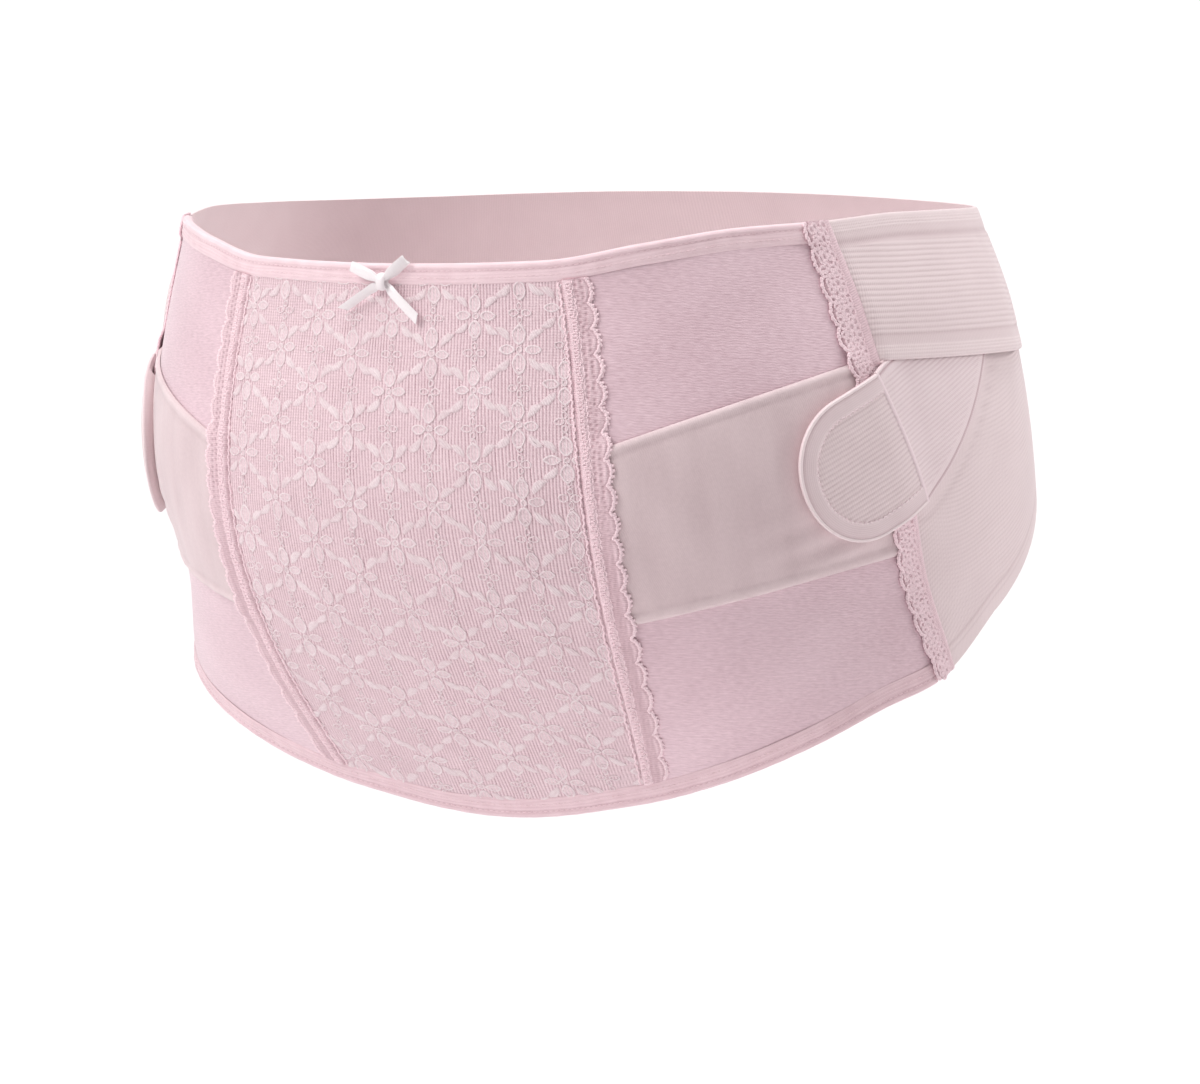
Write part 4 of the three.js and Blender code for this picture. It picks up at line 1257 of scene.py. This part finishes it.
def tab_stitches(side, mirrored):
    """Zigzag stitches round the rim's inner edge, and the cross seam behind the round end."""
    builder = Builder()
    inner = TAB["radius"] - TAB["rim"]
    sewn, cross = TAB_ZIGZAG, CROSS_SEAM
    line = rim_line(inner + sewn["inset"], 420)
    step = np.arange(len(line))
    outward = np.stack([np.minimum(line[:, 0], 0), line[:, 1]], axis=1)
    outward = outward / np.maximum(np.hypot(*outward.T), 1e-6)[:, None]
    swing = np.arcsin(np.sin(step * sewn["turn"])) / 1.571
    zigzag = line + outward * (sewn["half_width"] * swing)[:, None]
    angle, z, lift = tab_spot(tab_point(zigzag[:, 0], zigzag[:, 1]))
    normal = body_normal(angle, z)
    thread = place(angle, z, lift + sewn["lift"])
    builder.add_threads(thread[None], normal[None], round_section(sewn["radius"], 5))
    across = np.linspace(-TAB["radius"] + 0.4, TAB["radius"] - 0.4, 90)
    angle, z, lift = tab_spot(tab_point(TAB["straight"] - 0.05, across))
    seam = place(angle, z, lift + cross["lift"] + cross["wave"] * np.sin(across * 2.4))
    section = round_section(cross["radius"], 8, cross["flat"])
    builder.add_threads(seam[None], body_normal(angle, z)[None], section)
    return builder.piece(f"tab_stitches_{side}", STITCH, mirrored)


def bezier(start, bend, end, f):
    f = f[..., None]
    return (1 - f) ** 2 * start + 2 * f * (1 - f) * bend + f**2 * end


def tab_strap(side, mirrored):
    u, v = sheet_grid("strap")
    front = TAB["straight"] + GAP / 2
    top = bezier(tab_point(front, TAB["radius"]), STRAP_TOP_BEND, STRAP_TOP_END, u)
    bottom = bezier(tab_point(front, -TAB["radius"]), STRAP_BOTTOM_BEND, STRAP_BOTTOM_END, u)
    width = np.linalg.norm(top - bottom, axis=-1)
    edge = np.minimum(v, 1 - v) * width
    spot = lerp(bottom, top, v[..., None])
    tilt = math.radians(TAB["tilt"])
    across = spot[..., 1] * math.cos(tilt) - spot[..., 0] * math.sin(tilt)
    crest = rib(across / STRAP_RIB["pitch"] + 0.06 * waviness(u * 9, v * 8, 34))
    ribbed = smoothstep(edge, *STRAP_HEM)
    line = groove(edge - 1.5, 0.45)
    thickness = STRAP_THICKNESS - 0.24 + STRAP_RIB["height"] * crest * ribbed + 0.2 * (1 - ribbed)
    thickness = (thickness - 0.4 * line) * soft_edge(edge + 0.12, 0.8)
    # Lightness: painted highlight on the rib crests, painted shade in the valleys, and a dark painted shadow
    # line along the groove near each edge
    painted_shade_and_tone = ribbed * (0.45 + 0.45 * crest) + (1 - ribbed) * 0.86 - 0.8 * line
    cloth = np.stack([u * STRAP_CLOTH["length"], v * STRAP_CLOTH["width"]], axis=-1)
    return tab_layer(f"tab_strap_{side}_cloth", STRAP, mirrored,
                     spot, thickness, cloth, np.clip(painted_shade_and_tone, 0, 1))


def hook_patch(side, mirrored):
    mesh = HOOK_MESH
    u, v = grid(close_to_ends(even(mesh["across"]), mesh["width"], mesh["roll"]),
                close_to_ends(even(mesh["up"]), mesh["height"], mesh["roll"]))
    rise = lerp(-HOOK_PATCH["half_height"], HOOK_PATCH["half_height"], v)
    z = TAB_CENTRE[1] + rise
    half_chord = np.sqrt(HOOK_PATCH["radius"] ** 2 - rise**2)
    front = TAB_TIP_ANGLE + (TAB_CENTRE[0] - half_chord) / SIDE_MM_PER_DEGREE
    angle = lerp(front, rear_seam_at(z) - HOOK_PATCH["clear_of_seam"], u)
    tufts = rib(u * HOOK_TUFTS["across"]) * rib(v * HOOK_TUFTS["up"])
    outer = HOOK_PATCH["outer"] - 0.35 + HOOK_TUFTS["height"] * tufts
    # Lightness: painted highlight on the tufts and painted shade between them
    return layer_piece(f"hook_patch_{side}_cloth", HOOK, mirrored,
                       angle, z, HOOK_PATCH["inner"], outer, side_map(angle, z), 0.3 + 0.5 * tufts)


# Ribbon bow, laid out flat: x to the wearer's left, y up, z away from the belt


def flat_way(direction):
    turn = math.radians(direction)
    return np.array([math.cos(turn), math.sin(turn), 0])


def bow():
    builder = Builder()
    section = strip_section(BOW["ribbon"], BOW["thickness"])
    outward = body_normal(0.0, BOW["z"])
    basis = np.stack([[1, 0, 0], np.cross(outward, [1, 0, 0]), outward])
    seat = place(0.0, BOW["z"], BOW["stand_off"])

    def add(path, normals, width, skew=0.0, outline=section):
        builder.add_threads((seat + path @ basis)[None], (normals @ basis)[None], outline,
                            width=width, skew=skew, painted_shade_and_tone=0.85)

    for loop in BOW_LOOPS:
        way = flat_way(loop["direction"])
        fold = BOW["fold"]
        reach = loop["length"] - fold
        out = np.linspace(0, reach, BOW_MESH["loop"])
        turn = np.linspace(np.pi / 2, -np.pi / 2, BOW_MESH["fold"])[1:-1]
        along = np.concatenate([out, reach + fold * np.cos(turn), out[::-1]])
        puff = 0.9 * np.sin(np.pi * np.clip(along / loop["length"], 0, 1))
        lift = np.concatenate([np.full(len(out), fold), fold * np.sin(turn), np.full(len(out), -fold)])
        lift = BOW["layer"] + lift + puff * np.sign(lift) * 0.5 + 0.25
        path = along[:, None] * way + lift[:, None] * [0, 0, 1]
        tangent = unit(np.gradient(path, axis=0))
        face = np.array([0, 0, 1.0]) + math.tan(math.radians(loop["roll"])) * np.array([way[1], -way[0], 0])
        normals = (tangent @ way)[:, None] * face - tangent[:, 2:] * way
        add(path, normals, 0.55 + 0.45 * smoothstep(along, 1.5, 6))
    for tail in BOW_TAILS:
        way = flat_way(tail["direction"])
        along = np.linspace(0, tail["length"] - TAIL_CUT / 2, BOW_MESH["tail"])
        lift = 0.9 + 0.55 * np.sin(along / tail["length"] * 4.2) * smoothstep(along, 1, 6)
        path = along[:, None] * way + lift[:, None] * [0, 0, 1]
        roll = math.tan(math.radians(tail["roll"])) * smoothstep(along, 1, 8)
        normals = np.array([0, 0, 1.0]) + roll[:, None] * np.array([way[1], -way[0], 0])
        slant = np.where(np.arange(len(along)) == len(along) - 1, TAIL_CUT / BOW["ribbon"], 0.0)
        add(path, normals, 0.6 + 0.4 * smoothstep(along, 1, 5), skew=slant)
    turn = np.linspace(0, 2 * np.pi, BOW_MESH["knot"])[:-1]
    wrap_depth = KNOT["half_depth"] * (0.9 + 0.75 * np.sin(turn))
    wrap = np.stack([0 * turn, KNOT["half_height"] * np.cos(turn), wrap_depth], axis=1)
    facing = np.stack([0 * turn, np.cos(turn), np.sin(turn)], axis=1)
    builder.add_threads((seat + wrap @ basis)[None], (facing @ basis)[None],
                        round_section(KNOT["half_width"] * 0.66, 10, 0.4), closed=True, painted_shade_and_tone=0.7)
    return builder.piece("bow_cloth", RIBBON)


# The whole belt

lace = lace_panel()
flowers = lace_flowers()
upper_band = upper_back_band()
lower_panel = lower_back_panel()
top_tape, top_stitches = folded_tape("top_binding", top_edge, 1, lightness=0.78)
bottom_tape, bottom_stitches = folded_tape("bottom_binding", bottom_edge, -1, lightness=0.5)
ribbon_bow = bow()
side_panels = both_sides(side_panel)
landing_bands = both_sides(landing_band)
front_trims = both_sides(front_trim)
rear_trims = both_sides(rear_trim)
tab_ends = both_sides(tab_end)
tab_rims = both_sides(tab_rim)
tab_seams = both_sides(tab_stitches)
tab_straps = both_sides(tab_strap)
hook_patches = both_sides(hook_patch)


def finish_sheet(piece):
    """Hides the imported part of the same name, which this cloth piece stands for."""
    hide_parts(piece.name.removesuffix("_cloth"))


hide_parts("bow")
finish_sheet(lace)
finish_sheet(upper_band)
finish_sheet(lower_panel)
finish_sheet(top_tape)
finish_sheet(bottom_tape)
for side in ("left", "right"):
    finish_sheet(side_panels[side])
    finish_sheet(landing_bands[side])
    strip, threads = front_trims[side]
    finish_sheet(strip)
    strip, threads = rear_trims[side]
    finish_sheet(strip)
    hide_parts(f"tab_rim_{side}")
    finish_sheet(tab_ends[side])
    finish_sheet(tab_straps[side])
    finish_sheet(hook_patches[side])


# Floor, lights and camera


def studio():
    level, bend, radius, side = (STUDIO[name] for name in ("level", "bend", "bend_radius", "half_width"))
    outline = [(STUDIO["near"], level), (bend, level)]
    turn = np.linspace(0, np.pi / 2, 17)[1:]
    outline += [(bend + radius * math.sin(t), level + radius * (1 - math.cos(t))) for t in turn]
    outline.append((bend + radius, STUDIO["top"]))
    points = [(x, y, z) for x in (-side, side) for y, z in outline]
    count = len(outline)
    faces = [(i, i + 1, count + i + 1, count + i) for i in range(count - 1)]
    mesh = bpy.data.meshes.new("studio_floor")
    mesh.from_pydata(points, [], flipped(faces))
    mesh.shade_smooth()
    material, tree, shader = new_material("studio_paper")
    place_in_room = add_node(tree, "TexCoord", {}).outputs["Object"]
    grain = add_node(tree, "TexNoise", {"Vector": place_in_room, "Scale": 3.0}).outputs["Fac"]
    tones = {"Color1": srgb(*PAPER_TONES["dark"]), "Color2": srgb(*PAPER_TONES["light"])}
    colour = add_node(tree, "MixRGB", {"Fac": grain, **tones})
    tree.links.new(colour.outputs[0], shader.inputs["Base Color"])
    shader.inputs["Roughness"].default_value = 0.9
    mesh.materials.append(material)
    floor = in_scene("studio_floor", mesh)
    floor.rotation_euler.z = math.radians(CAMERA_AZIMUTH)


def look_from(thing, eye, aim):
    thing.location = eye
    thing.rotation_euler = (aim - eye).to_track_quat("-Z", "Y").to_euler()


def soft_light(name, place_at, aim, size, power, tint):
    data = bpy.data.lights.new(name, "AREA")
    data.shape = "DISK"
    data.size = size
    data.energy = power
    data.color = tint
    look_from(in_scene(name, data), Vector(place_at), Vector(aim))


def camera():
    azimuth, elevation = math.radians(CAMERA_AZIMUTH), math.radians(CAMERA_ELEVATION)
    back = Vector((math.sin(azimuth) * math.cos(elevation),
                   -math.cos(azimuth) * math.cos(elevation), math.sin(elevation)))
    right = Vector((math.cos(azimuth), math.sin(azimuth), 0))
    up = back.cross(right)
    eye = back * CAMERA_DISTANCE
    aim = -up * AIM_BELOW_ORIGIN - right * AIM_LEFT_OF_ORIGIN
    data = bpy.data.cameras.new("photo_view")
    data.lens = CAMERA_LENS
    data.sensor_width = CAMERA_SENSOR
    data.sensor_fit = "HORIZONTAL"
    view = in_scene("photo_view", data)
    look_from(view, eye, aim)
    bpy.context.scene.camera = view


def surroundings():
    world = bpy.data.worlds.new("studio_air")
    bpy.context.scene.world = world
    world.use_nodes = True
    sky = world.node_tree.nodes["Background"]
    sky.inputs["Color"].default_value = (1.0, 0.98, 0.985, 1.0)
    sky.inputs["Strength"].default_value = SKY_STRENGTH
    bpy.context.scene.view_settings.view_transform = "Standard"


studio()
surroundings()
for light in LIGHTS:
    soft_light(**light)
camera()

bpy.context.view_layer.update()
